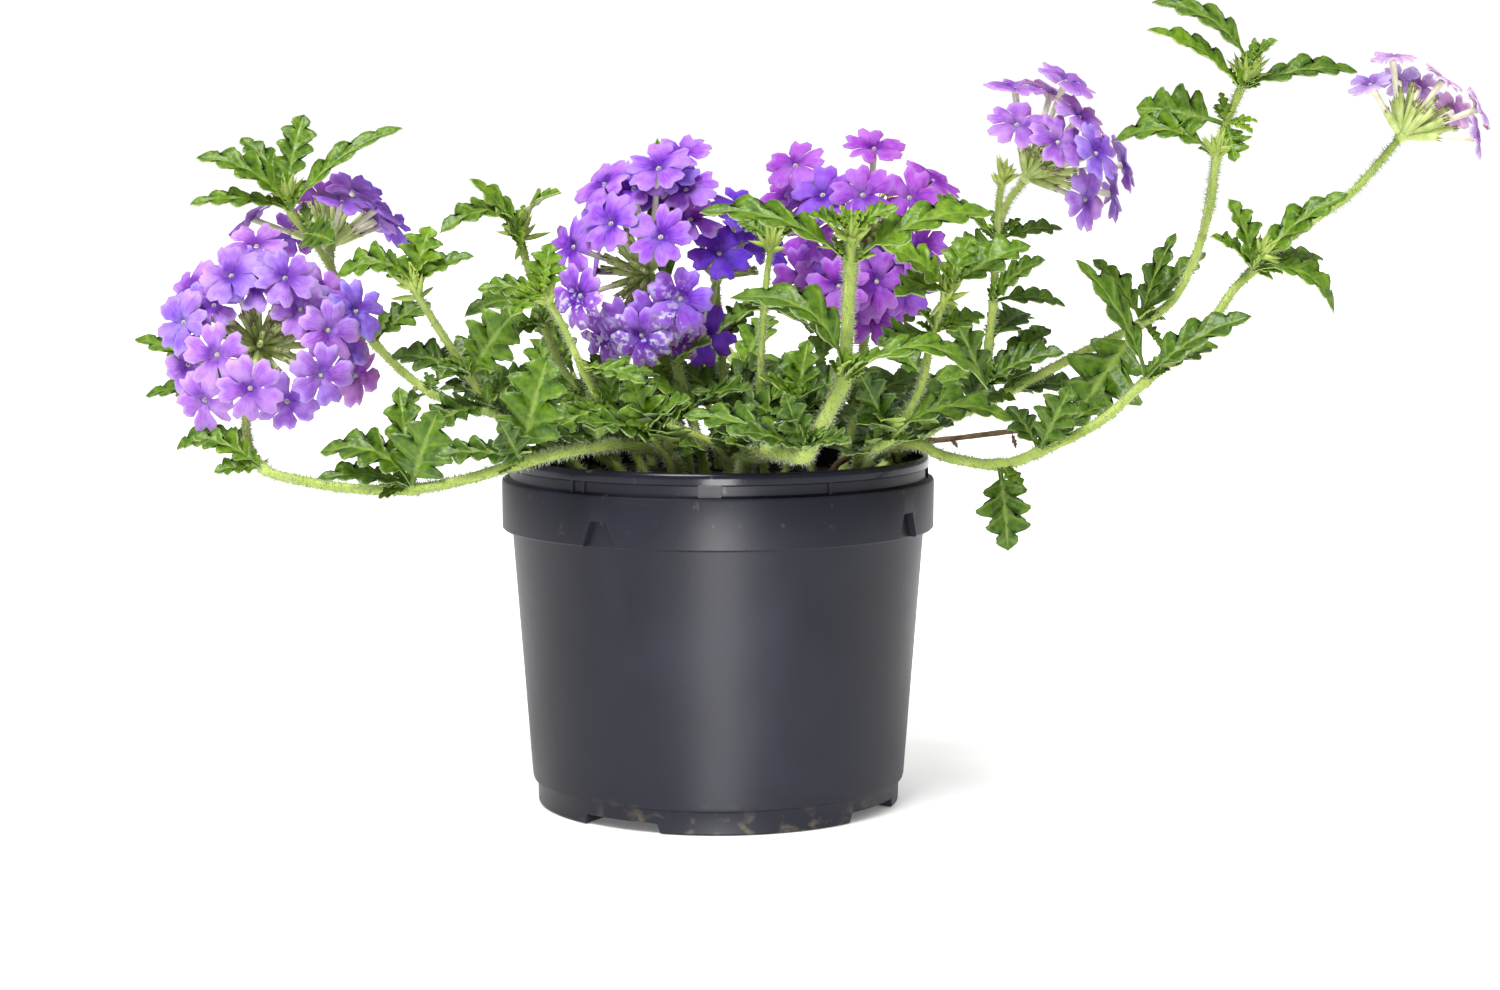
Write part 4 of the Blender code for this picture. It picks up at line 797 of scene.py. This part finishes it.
STEMS = [
    Stem("left_runner", 2.0, [
        (-12, 97, -15), (-13, 103, -20), (-24, 107, -36), (-36, 107, -49), (-47, 105, -58),
        (-59.4, 102, -64), (-76, 97, -62), (-92.4, 94, -54), (-110.4, 94.2, -46), (-125.4, 96.6, -42),
        (-136.8, 100, -34), (-142, 109, -20), (-141, 121, -8), (-139, 131, -5)],
        [Leaf(5, (-51, 134, -66), 19, "front"), Leaf(5, (-85, 104, -70), 11),
         Leaf(5, (-66, 115, -76), 9, "front"),
         Leaf(7, (-120, 105, -54), 15, "up", 0.3), Leaf(7, (-84, 118, -60), 15, "front"),
         Leaf(7, (-121, 97, -64), 9), Leaf(7, (-96, 125, -50), 10),
         Leaf(10, (-158, 110, -32), 10), Leaf(10, (-152, 99, -38), 9),
         Leaf(12, (-175, 139, 6), 11), Leaf(12, (-172, 122, 2), 11), Leaf(11, (-163, 106, -12), 10)],
        carries="left_round_head"),
    Stem("left_back_shoot", 1.7, [
        (-28, 97, 4), (-34, 103, 5), (-46, 111, 6), (-64, 116, 9), (-86, 123, 12), (-103, 138, 16),
        (-112, 152, 16), (-116, 161, 14), (-122, 170, 10), (-127.5, 177, 8), (-128.5, 183, 8)],
        [Leaf(9, (-155.4, 193.2, 4), 13, "up", 0.2), Leaf(9, (-157.5, 179.4, -2), 9),
         Leaf(10, (-123, 206, 12), 11, "front"), Leaf(9, (-94, 202, 12), 9),
         Leaf(8, (-114, 168, -6), 12, "front"),
         Leaf(10, (-142, 199, 14), 8), Leaf(5, (-86, 150, 22), 12), Leaf(5, (-120, 138, 6), 12),
         Leaf(4, (-70, 140, 16), 11), Leaf(4, (-98, 112, 22), 12)],
        branches=[Branch(7, [(-116, 164, 18)], 1.4, carries="far_left_head")], bud=True),
    Stem("left_shoot", 1.7, [
        (-40, 97, -8), (-44, 102, -10), (-52, 108, -13), (-61, 114, -17), (-69, 118.5, -20),
        (-74.4, 128, -22),
        (-81, 138, -24), (-88.5, 150, -26), (-91, 155, -26)],
        [Leaf(8, (-114, 158, -32), 13, "up", 0.3), Leaf(8, (-86, 173, -24), 12, "front"),
         Leaf(8, (-73, 164, -28), 8),
         Leaf(8, (-102, 163, -14), 10), Leaf(5, (-59.4, 149, -30), 14, "front"), Leaf(5, (-84, 131, -36), 8),
         Leaf(5, (-98, 134, -14), 14), Leaf(4, (-88, 112, -32), 13), Leaf(4, (-56, 130, -30), 12)],
        bud=True),
    Stem("tall_left_shoot", 1.6, [
        (-22, 97, 2), (-24, 103, 2), (-31, 115, 1), (-39, 121.5, 0), (-46.8, 130.5, 0), (-51.6, 142, 0),
        (-55, 154, 0), (-58, 165, 0), (-59, 171, 0)],
        [Leaf(8, (-83, 171, -20), 13, "up", 0.25), Leaf(8, (-46.8, 183, -16), 8), Leaf(7, (-74, 187, -10), 9),
         Leaf(5, (-76, 146, -22), 12, "up", 0.25), Leaf(5, (-38, 152, -28), 11), Leaf(5, (-70, 140, -6), 11),
         Leaf(3, (-60, 120, -4), 12), Leaf(3, (-32, 136, -8), 10)],
        bud=True),
    Stem("front_left_shoot", 1.6, [
        (4, 97, -26), (3, 102, -28), (-2, 108, -33), (-17, 113.5, -37), (-32.7, 118, -40), (-40, 129, -40),
        (-47.4, 145, -38), (-52, 152, -37)],
        [Leaf(7, (-72, 154, -40), 9), Leaf(7, (-50, 168, -36), 10), Leaf(7, (-62, 146, -52), 9),
         Leaf(4, (-52, 109, -54), 11), Leaf(4, (-26, 134, -46), 11), Leaf(5, (-22, 126, -54), 9)],
        bud=True),
    Stem("middle_flower_stem", 1.7, [
        (-4, 97, -12), (-4.5, 103, -13), (-8, 116, -12), (-12, 130, -4), (-15, 144, 4), (-18, 153, 4)],
        [Leaf(4, (-18, 199, 8), 8), Leaf(2, (-38, 107, -30), 14, "front"), Leaf(2, (10, 124, -34), 12),
         Leaf(3, (-2, 138, -22), 10)],
        carries="middle_head"),
    Stem("blue_flower_stem", 1.7, [
        (7, 97, 12), (5.5, 103, 13), (2, 117, 15), (1.2, 138, 18), (0, 149, 19), (-0.3, 153, 20)],
        [Leaf(2, (-14, 132, 16), 12), Leaf(2, (20, 130, 14), 11), Leaf(3, (12, 150, 20), 8)],
        carries="blue_head"),
    Stem("slim_stem", 1.4, [
        (14, 97, -10), (13.5, 103, -11), (12.3, 117, -13), (13.8, 148, -14), (15.3, 163, -14),
        (16.5, 168, -14)],
        [Leaf(5, (25, 173, -2), 7), Leaf(5, (6, 174, -8), 7), Leaf(3, (0, 141, -4), 11),
         Leaf(3, (28, 141, -2), 11)],
        bud=True),
    Stem("front_upright", 2.7, [
        (8, 97, -39), (8.5, 102, -43), (13, 105, -52), (20, 105, -60), (26, 104.5, -66), (31, 113, -66),
        (36, 122.7, -65), (37.5, 126, -65), (38.7, 141, -65), (39.6, 161, -65), (39.6, 170, -65)],
        [Leaf(9, (-5.4, 177, -64), 12, "up", 0.16), Leaf(9, (82, 176.5, -60), 14, "up", 0.16),
         Leaf(10, (27, 176, -70), 8), Leaf(10, (54, 178.5, -68), 8),
         Leaf(7, (3.6, 151.5, -66), 13, "up", 0.35),
         Leaf(7, (81, 124, -62), 11, "up", 0.35), Leaf(7, (52, 135, -78), 8), Leaf(4, (-10.5, 116, -62), 11),
         Leaf(4, (20, 123, -70), 9, "front"), Leaf(4, (40, 108, -80), 9), Leaf(4, (4, 111, -74), 9)],
        bud=True),
    Stem("front_right_shoot", 1.7, [
        (40, 97, -32), (42, 102, -36), (46, 106, -41), (51.6, 109, -46), (59, 120.3, -48), (62, 129.3, -49),
        (64, 140, -49), (67, 149, -49), (69, 153, -49)],
        [Leaf(3, (89, 114.5, -48), 12, "up", 0.25), Leaf(3, (42, 130, -56), 11, "front"),
         Leaf(6, (48, 137, -58), 12), Leaf(6, (80, 146, -44), 9), Leaf(8, (93.6, 167, -46), 13),
         Leaf(8, (49, 167, -52), 12), Leaf(8, (53, 152, -62), 11), Leaf(8, (76, 170, -42), 10)],
        bud=True),
    Stem("right_flower_stem", 1.7, [
        (48, 97, 8), (51, 102, 8), (62, 110, 8), (74, 119, 8), (80.1, 125, 8), (81.3, 138, 8), (82.5, 150, 8),
        (83.4, 168, 8), (86, 179, 7), (89, 184, 6)],
        [Leaf(7, (62, 182, 2), 8), Leaf(7, (68, 164, 2), 11, "front"), Leaf(7, (103, 172, 12), 8),
         Leaf(6, (98, 163, -2), 12), Leaf(6, (104, 149, 14), 8), Leaf(4, (104, 135, 0), 11),
         Leaf(4, (100, 142, 18), 8),
         Leaf(4, (68, 150, 2), 11, "front"), Leaf(5, (92, 147, 24), 12)],
        branches=[Branch(7, [(84, 181, 0), (85.2, 188, -2)], 1.1, True)], carries="right_head"),
    Stem("long_right_stem", 1.8, [
        (44, 97, 19), (46, 105, 20), (58, 112.5, 21), (75, 117.5, 20), (86, 122.7, 20), (102.6, 131.7, 18),
        (120.6, 140.7, 16), (126.6, 143.7, 15), (135.6, 150.3, 14), (141.6, 160.8, 12), (144.6, 169.8, 10),
        (146.4, 178.8, 10), (148.5, 192.3, 10), (151.2, 202.8, 10), (155.1, 212.7, 10), (157.8, 218.7, 10)],
        [Leaf(15, (128.7, 239, 10), 11, "up", 0.2), Leaf(14, (127.5, 231, 2), 9),
         Leaf(14, (190, 218.4, 12), 11),
         Leaf(12, (118, 198, 12), 14, "up", 0.25), Leaf(13, (124.5, 208, 18), 15, "front"),
         Leaf(13, (154, 192, 2), 9, "front"), Leaf(7, (137, 171, 12), 8), Leaf(7, (146, 165, 24), 8),
         Leaf(7, (105.6, 113, 8), 22, "front"), Leaf(7, (112, 163, 16), 8), Leaf(4, (98, 143, 28), 12),
         Leaf(4, (110, 124, 30), 11), Leaf(15, (166, 228, 4), 7)],
        branches=[Branch(10, [(147, 178, 3), (148, 187, 0), (148.5, 196, -2)], 1.2, True)], bud=True),
    Stem("low_right_stem", 1.8, [
        (43, 97, -18), (46, 103, -20), (54, 107.5, -24), (61, 107.5, -28), (68, 104, -31), (84.6, 101.4, -30),
        (96.6, 105.3, -27), (114.6, 114.3, -25), (128.1, 126.3, -22), (144.6, 139.8, -19), (153.6, 153, -16),
        (159.6, 159.3, -14), (169.5, 168.3, -11), (180.6, 176.7, -9), (189.6, 183.3, -8), (201, 196.7, -6)],
        [Leaf(5, (87.6, 75.3, -38), 14, "front"), Leaf(6, (106, 125, -30), 12, "front"),
         Leaf(6, (87, 119, -20), 9),
         Leaf(6, (116, 119, -14), 9), Leaf(8, (107, 163, -26), 9), Leaf(8, (160, 146, -28), 12),
         Leaf(8, (150, 137, -8), 8), Leaf(11, (184.5, 147, -16), 11, "up", 0.3),
         Leaf(11, (188.4, 182.4, -18), 11),
         Leaf(11, (152.4, 181, -16), 9), Leaf(11, (147, 170, -20), 8), Leaf(11, (181, 163, -2), 8)],
        branches=[Branch(11, [(163, 166, -17)], 1.1, True)], carries="far_right_head"),
    Stem("magenta_flower_stem", 1.7, [
        (37, 97, 14), (38, 102, 15), (41, 118, 19), (44, 140, 22), (45, 156, 20), (45, 165, 16)],
        [Leaf(2, (62, 128, 28), 12), Leaf(2, (24, 130, 30), 12), Leaf(3, (64, 148, 34), 10),
         Leaf(3, (32, 152, 36), 9)],
        carries="magenta_head"),
    Stem("middle_shoot_1", 1.3, [(-8, 97, 14), (-9, 104, 14), (-12, 116, 15), (-14, 126, 16)],
        [Leaf(1, (-24, 117, 8), 13), Leaf(2, (-34, 124, 18), 12), Leaf(2, (2, 126, 22), 11),
         Leaf(3, (-18, 146, 14), 10)]),
    Stem("middle_shoot_2", 1.3, [(20, 97, -22), (21, 104, -23), (23, 112, -26), (24, 117, -28)],
        [Leaf(2, (2, 121, -22), 13), Leaf(2, (42, 117, -18), 13), Leaf(3, (27, 139, -24), 11),
         Leaf(3, (12, 128, -40), 9)]),
    Stem("middle_shoot_3", 1.3, [(28, 97, 26), (28, 104, 27), (29, 118, 29), (30, 130, 30)],
        [Leaf(1, (48, 112, 34), 13), Leaf(2, (10, 128, 38), 12), Leaf(2, (50, 130, 42), 11),
         Leaf(3, (36, 148, 44), 10)]),
    Stem("middle_shoot_4", 1.3, [(-30, 97, 24), (-31, 104, 25), (-38, 118, 30), (-44, 129, 34)],
        [Leaf(1, (-14, 114, 28), 13), Leaf(2, (-62, 126, 38), 13), Leaf(2, (-26, 130, 36), 11),
         Leaf(3, (-56, 148, 32), 11)]),
    Stem("middle_shoot_5", 1.3, [(0, 97, 36), (0, 104, 37), (-3, 120, 42), (-4, 132, 46)],
        [Leaf(1, (16, 114, 44), 13), Leaf(2, (-26, 130, 52), 12), Leaf(2, (18, 132, 54), 12),
         Leaf(3, (-8, 152, 50), 11)]),
    Stem("middle_shoot_6", 1.3, [(-14, 97, -36), (-15, 103, -38), (-18, 107, -42), (-20, 110, -46)],
        [Leaf(2, (-40, 114, -56), 12), Leaf(3, (-8, 120, -56), 11), Leaf(3, (-26, 128, -52), 11, "front")]),
    Stem("back_shoot_left", 1.6, [
        (-20, 97, 42), (-22, 107, 46), (-30, 116, 60), (-42, 118, 76), (-55, 119, 90), (-64, 125, 102)],
        [Leaf(2, (-66, 124, 64), 13), Leaf(2, (-26, 122, 96), 13), Leaf(3, (-84, 124, 88), 12),
         Leaf(4, (-90, 136, 104), 12), Leaf(4, (-50, 140, 120), 12)],
        bud=True),
    Stem("back_shoot_middle", 1.6, [
        (2, 97, 46), (3, 107, 51), (5, 116, 63), (6, 119, 84), (6, 124, 104), (6, 132, 118)],
        [Leaf(2, (30, 124, 92), 13), Leaf(2, (-18, 126, 84), 12), Leaf(3, (28, 132, 122), 12),
         Leaf(4, (-16, 140, 128), 12), Leaf(4, (16, 146, 140), 11)],
        bud=True),
    Stem("back_shoot_right", 1.7, [
        (26, 97, 40), (28, 107, 44), (38, 116, 60), (50, 118, 76), (64, 122, 94), (72, 131, 106)],
        [Leaf(2, (74, 122, 66), 13), Leaf(2, (34, 124, 98), 12), Leaf(3, (88, 128, 84), 12),
         Leaf(4, (50, 140, 116), 12)]),
]
HOLE_DEPTH = 8.0
LEAF_ROOT = 0.3
THINNING = 0.34
SWINGS = (0, 3, -3, 6, -6, 9, -9, 12, -12, 16, -16, 20, -20, 25, -25)
PROBES = (0.3, 0.4, 0.5, 0.6, 0.7, 0.8, 0.9)
TEETH = 4
TOOTH_STEPS = 6
STALK_STEPS = 3
STALK_SHARE = 0.2
VEIN_AT = 0.58
LEAF_THICKNESS = 0.4
LEAFLET_THICKNESS = 0.3
HAIRS_PER_RADIUS = 11.0
STEM_HAIR = 1.7
RING_STEP = 2.5
STEM_BUDS = (26, 8.0)
BRANCH_BUDS = (20, 7.0)
EDGE_HAIRS = 3
CROWN_TOP = 120.0


def smooth_route(points, step):
    """Points along a smooth curve through the route's own points, about a step of millimetres apart."""
    ends = [points[0] * 2 - points[1]] + points + [points[-1] * 2 - points[-2]]
    found = []
    for before, start, end, after in zip(ends, ends[1:], ends[2:], ends[3:]):
        parts = max(1, round((end - start).length / (step * MM)))
        for part in range(parts):
            t = part / parts
            found.append(0.5 * (
                2 * start + (end - before) * t + (2 * before - 5 * start + 4 * end - after) * t * t
                + (3 * start - before - 3 * end + after) * t ** 3
            ))
    return found + [points[-1]]


def in_space(route, carries):
    """A drawn route in space. Where it carries a head, it ends in the head's knob."""
    points = [place(*point) for point in route]
    if carries:
        hub = place(*HUBS[carries])
        points[-1] = hub + (points[-2] - hub).normalized() * HUB_RADIUS * 0.5 * MM
    return points


def leaf_frame(base, tip, face):
    """The length of a leaf and its directions: along, to the side and up from its blade."""
    along = tip - base
    towards = Vector((0, -1, 0.35)) if face == "front" else Vector((0, -0.7, 1))
    side = along.cross(towards).normalized()
    return along.length, along.normalized(), side, side.cross(along).normalized()


def tip_in_model(leaf, base, model):
    """The leaf's tip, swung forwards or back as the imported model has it."""
    across, up, back = leaf.tip
    misses = []
    for swing in SWINGS:
        tip = place(across, up, back + swing)
        length, along, side, upper = leaf_frame(base, tip, leaf.face)
        start = base - along * LEAF_ROOT * MM
        miss = 0.0
        for share in PROBES:
            spot = start.lerp(tip, share) + upper * (leaf.arch * length * 4 * share * (1 - share))
            miss = max(miss, model.find_nearest(spot)[3])
        misses.append((miss, abs(swing), tip))
    return min(misses, key=lambda found: (round(found[0] / MM, 1), found[1]))[2]


def leaf_sheet(base, tip, width, face, arch, draw, tint, tooth_steps=TOOTH_STEPS, columns=8):
    """A lobed blade on its stalk, folded up a little along its midrib and quilted between its veins."""
    length, along, side, upper = leaf_frame(base, tip, face)
    start = base - along * LEAF_ROOT * MM
    rows = STALK_STEPS + TEETH * tooth_steps
    shape = bmesh.new()
    layer = shape.verts.layers.float_vector.new("growth")
    bmesh.ops.create_grid(shape, x_segments=columns, y_segments=rows, size=1.0)
    fold, wave, phase = draw.uniform(0.12, 0.36), draw.uniform(0.3, 1.0), draw.uniform(0, math.tau)
    depth, half = draw.uniform(0.52, 0.74), width / 2 * draw.uniform(1.12, 1.25)
    uneven = {(tooth, turn): draw.uniform(0.84, 1.14) for tooth in range(TEETH + 1) for turn in (-1, 0, 1)}
    stalk = min(0.75, width * 0.1)
    edge = []
    for corner in shape.verts:
        across, row = corner.co.x, (corner.co.y + 1) / 2 * rows
        if row < STALK_STEPS + 0.5:
            share, wide, relief = STALK_SHARE * row / STALK_STEPS, stalk, 0.25 * across * across
            blade_share = 0.0
        else:
            blade_share = (row - STALK_STEPS) / (rows - STALK_STEPS)
            tooth = blade_share * TEETH % 1.0
            lobe = max(math.sin(math.pi * tooth ** 1.25), 0.0) ** 0.55
            lobe -= 0.2 * math.exp(-((tooth - 0.34) / 0.1) ** 2)
            wide = half * math.sin(math.pi * blade_share ** 0.7) ** 0.7 * (1 - depth * (1 - lobe))
            wide *= uneven[int(blade_share * TEETH), (across > 0) - (across < 0)]
            wide = max(wide, stalk if blade_share < 0.15 else 0.02)
            slant = math.sin(math.pi * blade_share)
            share = STALK_SHARE + (1 - STALK_SHARE) * (blade_share + slant * (0.24 * abs(across) - 0.17))
            vein = math.exp(-((tooth - VEIN_AT) / 0.17) ** 2) if blade_share < 0.97 else 0.0
            relief = -0.55 * vein * (1 - 0.6 * abs(across)) * min(1.0, wide / 4)
            relief -= 0.35 * math.exp(-(across / 0.14) ** 2)
            ripple = math.sin(blade_share * 13 + phase + across) * across * across
            relief += wave * ripple * min(1.0, wide / 9)
        spot = start.lerp(tip, share) + upper * (arch * length * 4 * share * (1 - share))
        out = across * wide
        corner.co = spot + side * out * MM + upper * (relief + fold * abs(out)) * MM
        corner[layer] = Vector(((across + 1) / 2, blade_share, tint))
        if abs(across) > 0.99 and row > STALK_STEPS:
            edge.append((corner.co.copy(), side * math.copysign(1.0, across)))
    return shape, upper, edge


def blade_finish(name, dark, light, vein_colour, relief):
    """Leaf tissue with a paler midrib and side veins. Young leaves are lighter and old ones darker, partly
    from their own colour with age and partly as painted light and shade.
    """
    made, tree, shader = finish_of(name, 0.4, Specular_IOR_Level=0.4)
    grown = node(tree, "ShaderNodeAttribute", attribute_name="growth")
    across, along, tint = node(tree, "ShaderNodeSeparateXYZ", {0: grown.outputs["Vector"]}).outputs
    where = node(tree, "ShaderNodeTexCoord").outputs["Object"]
    mottle = speckle(tree, where, 420.0, 4.0)
    tissue = mixed(tree, ramp(tree, mottle, [(0.3, (0, 0, 0)), (0.7, (1, 1, 1))]), dark, light)
    # Painted light and shade on top of age colour: the tint darkens old leaves low in the crown and lightens
    # young ones higher up.
    age_and_painted_light = ramp(tree, tint, [(0.0, (0.4, 0.46, 0.45)), (0.42, (1.05, 1.0, 0.85)),
                             (0.78, (1.9, 1.65, 1.05)), (1.0, (2.7, 2.15, 1.3))])
    tissue = mixed(tree, 1.0, tissue, age_and_painted_light, "MULTIPLY")
    off = sum_of(tree, "ABSOLUTE", sum_of(tree, "SUBTRACT", across, 0.5))
    midrib = ramp(tree, off, [(0.0, (0.9,) * 3), (0.035, (0.6,) * 3), (0.08, (0,) * 3)])
    beat = sum_of(tree, "FRACT", sum_of(tree, "MULTIPLY", along, float(TEETH)))
    near = sum_of(tree, "ABSOLUTE", sum_of(tree, "SUBTRACT", beat, VEIN_AT))
    side_vein = ramp(tree, near, [(0.0, (0.35,) * 3), (0.05, (0.25,) * 3), (0.12, (0,) * 3)])
    veins = sum_of(tree, "MAXIMUM", midrib, side_vein)
    veined = mixed(tree, veins, tissue, vein_colour)
    rim = ramp(tree, off, [(0.47, (0,) * 3), (0.5, (0.2,) * 3)])
    tree.links.new(mixed(tree, rim, veined, (0.42, 0.52, 0.3)), shader.inputs["Base Color"])
    fine = node(tree, "ShaderNodeTexVoronoi", {"Vector": where, "Scale": 700.0}).outputs["Distance"]
    raise_by(tree, shader, sum_of(tree, "ADD", fine, sum_of(tree, "MULTIPLY", mottle, 0.6)), relief, 0.7)
    return made


def bud_cluster(tissue, fuzz, draw, tip, way, count, length):
    """A spiky cluster of closed green buds at the tip of a shoot."""
    for number in range(count):
        aside = Vector([draw.gauss(0, 1) for _ in range(3)]).normalized()
        lean = aside * (0.25 + 1.1 * number / count) + way * 0.9
        foot = tip - way * draw.uniform(0.5, 3.5) * MM
        reach, radius = length * draw.uniform(0.7, 1.15), draw.uniform(0.7, 0.95)
        tissue.stamp(CLOSED_BUD, seat_of(foot, lean.normalized(), radius, reach), STEM, 0.7)
        hairy_stick(fuzz, draw, foot, lean.normalized(), radius, reach, 14)


STEM, BLADE, UNDER = 2, 3, 4
stem_green = green_finish("stem_green", (0.28, 0.4, 0.055), (0.5, 0.61, 0.15), 120.0)
blade_green = blade_finish("blade_green", (0.024, 0.076, 0.004), (0.09, 0.188, 0.008),
                           (0.25, 0.36, 0.06), 0.00025)
under_green = blade_finish("under_green", (0.14, 0.25, 0.055), (0.24, 0.36, 0.1),
                           (0.4, 0.5, 0.2), 0.0002)
GREENS = [calyx_green, calyx_tip, stem_green, blade_green, under_green]

for stem in STEMS:
    draw = random.Random(stem.name + " looks")
    greenery, fuzz = Tissue(), Tissue()
    base_route = in_space(stem.route, stem.carries)
    base_route[0].z = (SOIL_TOP + 1) * MM
    whole_route = [base_route[0] - Vector((0, 0, (HOLE_DEPTH + 1) * MM))] + base_route
    points = smooth_route(whole_route, RING_STEP)
    last = len(points) - 1
    radii = [stem.radius * 0.92 * (1 - THINNING * number / last) for number in range(last + 1)]
    joints = [base_route[leaf.at] for leaf in stem.leaves]
    for number, point in enumerate(points):
        closest = min(((point - joint).length / MM for joint in joints), default=99.0)
        radii[number] *= 1 + 0.28 * math.exp(-(closest / 2.2) ** 2)
    shape, rings = tube(points, radii, STEM, 10)
    greenery.add(shape)
    hairy_tube(fuzz, draw, rings, HAIRS_PER_RADIUS * stem.radius, STEM_HAIR)
    if stem.bud:
        bud_cluster(greenery, fuzz, draw, points[-1], (points[-1] - points[-2]).normalized(), *STEM_BUDS)
    for branch in stem.branches:
        branch_route = in_space([stem.route[branch.at]] + branch.route, branch.carries)
        along = smooth_route(branch_route, RING_STEP)
        shape, rings = tube(along, [branch.radius * 0.95] * len(along), STEM, 8)
        greenery.add(shape)
        hairy_tube(fuzz, draw, rings, HAIRS_PER_RADIUS * branch.radius, STEM_HAIR * 0.8)
        if branch.bud:
            onward = (along[-1] - along[-2]).normalized()
            bud_cluster(greenery, fuzz, draw, along[-1], onward, *BRANCH_BUDS)
    cad_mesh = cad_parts[stem.name].data
    cad_mesh.calc_loop_triangles()
    model = BVHTree.FromPolygons([corner.co for corner in cad_mesh.vertices],
                                 [tuple(triangle.vertices) for triangle in cad_mesh.loop_triangles])
    for leaf in stem.leaves:
        base = place(*stem.route[leaf.at])
        young = leaf.at / (len(stem.route) - 1)
        # The tint rises with the leaf's place along its stem: low crown leaves get painted shade and high
        # ones painted light, on top of their own age colour.
        tint = 0.15 + 0.55 * young + draw.uniform(-0.15, 0.25)
        tip = tip_in_model(leaf, base, model)
        sheet, upper, edge = leaf_sheet(base, tip, leaf.width, leaf.face, leaf.arch, draw, tint)
        greenery.add(thick_sheet(sheet, LEAF_THICKNESS, upper, BLADE, UNDER))
        for spot, out in edge:
            for _ in range(EDGE_HAIRS):
                shift = Vector([draw.uniform(-0.5, 0.5) for _ in range(3)])
                hair(fuzz, spot, (out + shift).normalized(), draw.uniform(0.4, 0.85), 0.05)
        onward = (base_route[min(leaf.at + 1, len(base_route) - 1)] - base_route[leaf.at - 1]).normalized()
        for _ in range(2):
            lean = Vector([draw.gauss(0, 0.3) for _ in range(3)])
            way = ((tip - base).normalized() * 0.55 + onward * 0.6 + lean).normalized()
            end = base + way * draw.uniform(6, 11) * MM
            sheet, upper, _ = leaf_sheet(base, end, draw.uniform(3.2, 4.8), "up", 0.15, draw,
                                         tint + 0.2, 3, 2)
            greenery.add(thick_sheet(sheet, LEAFLET_THICKNESS, upper, BLADE, UNDER))
    for number in (1, 2, 3):
        base = base_route[number]
        for _ in range(2):
            turn = math.atan2(base.y, base.x) + draw.gauss(0, 0.9)
            reach = draw.uniform(14, 23)
            way = Vector((math.cos(turn), math.sin(turn), draw.uniform(0.15, 0.9))).normalized()
            if base.z < CROWN_TOP * MM:
                sheet, upper, _ = leaf_sheet(base, base + way * reach * MM, reach * 0.5, "up", 0.15, draw,
                                             draw.uniform(0.0, 0.8), 4, 4)
                greenery.add(thick_sheet(sheet, LEAFLET_THICKNESS, upper, BLADE, UNDER))
    greenery.make(stem.name + "_growth", GREENS, [stem.name], "foliage")
    fuzz.make(stem.name + "_hairs", [hair_pale], [stem.name], "foliage")


# Dry stalk.
# One dead stalk lies over the rim on the right, shrivelled and brown. It is uneven in thickness, with small
# torn shreds hanging from it.

STALK_ROUTE = [
    (34, 97, -8), (38, 103, -9), (56, 107.5, -12), (72, 109.5, -12), (88, 111.5, -12), (94, 112, -12),
]
SHREDS_FROM = 16
SHRED_EVERY = 9
stalk_brown = green_finish("stalk_brown", (0.07, 0.04, 0.02), (0.2, 0.13, 0.07), 260.0, 0.9, 0.0004)
draw = random.Random("dry stalk")
stalk = Tissue()
route = [place(*point) for point in STALK_ROUTE]
route[0].z = (SOIL_TOP + 1) * MM
points = smooth_route([route[0] - Vector((0, 0, (HOLE_DEPTH + 1) * MM))] + route, 2.0)
radii = [(1 - THINNING * number / len(points)) * draw.uniform(0.75, 1.05) for number in range(len(points))]
stalk.add(tube(points, [radius * 1.35 for radius in radii], 0, 8)[0])
for spot in points[SHREDS_FROM::SHRED_EVERY]:
    fall = Vector((draw.uniform(0.2, 0.8), draw.uniform(-0.6, 0.2), -1.0)).normalized()
    end = spot + fall * draw.uniform(3.0, 6.0) * MM
    sheet, upper, _ = leaf_sheet(spot, end, draw.uniform(1.4, 2.4), "front", 0.2, draw, 0.5, 3, 2)
    stalk.add(thick_sheet(sheet, LEAFLET_THICKNESS, upper, 0, 0))
stalk.make("dead_stalk", [stalk_brown], ["dry_stalk"], "dry_stalk")


low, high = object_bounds()
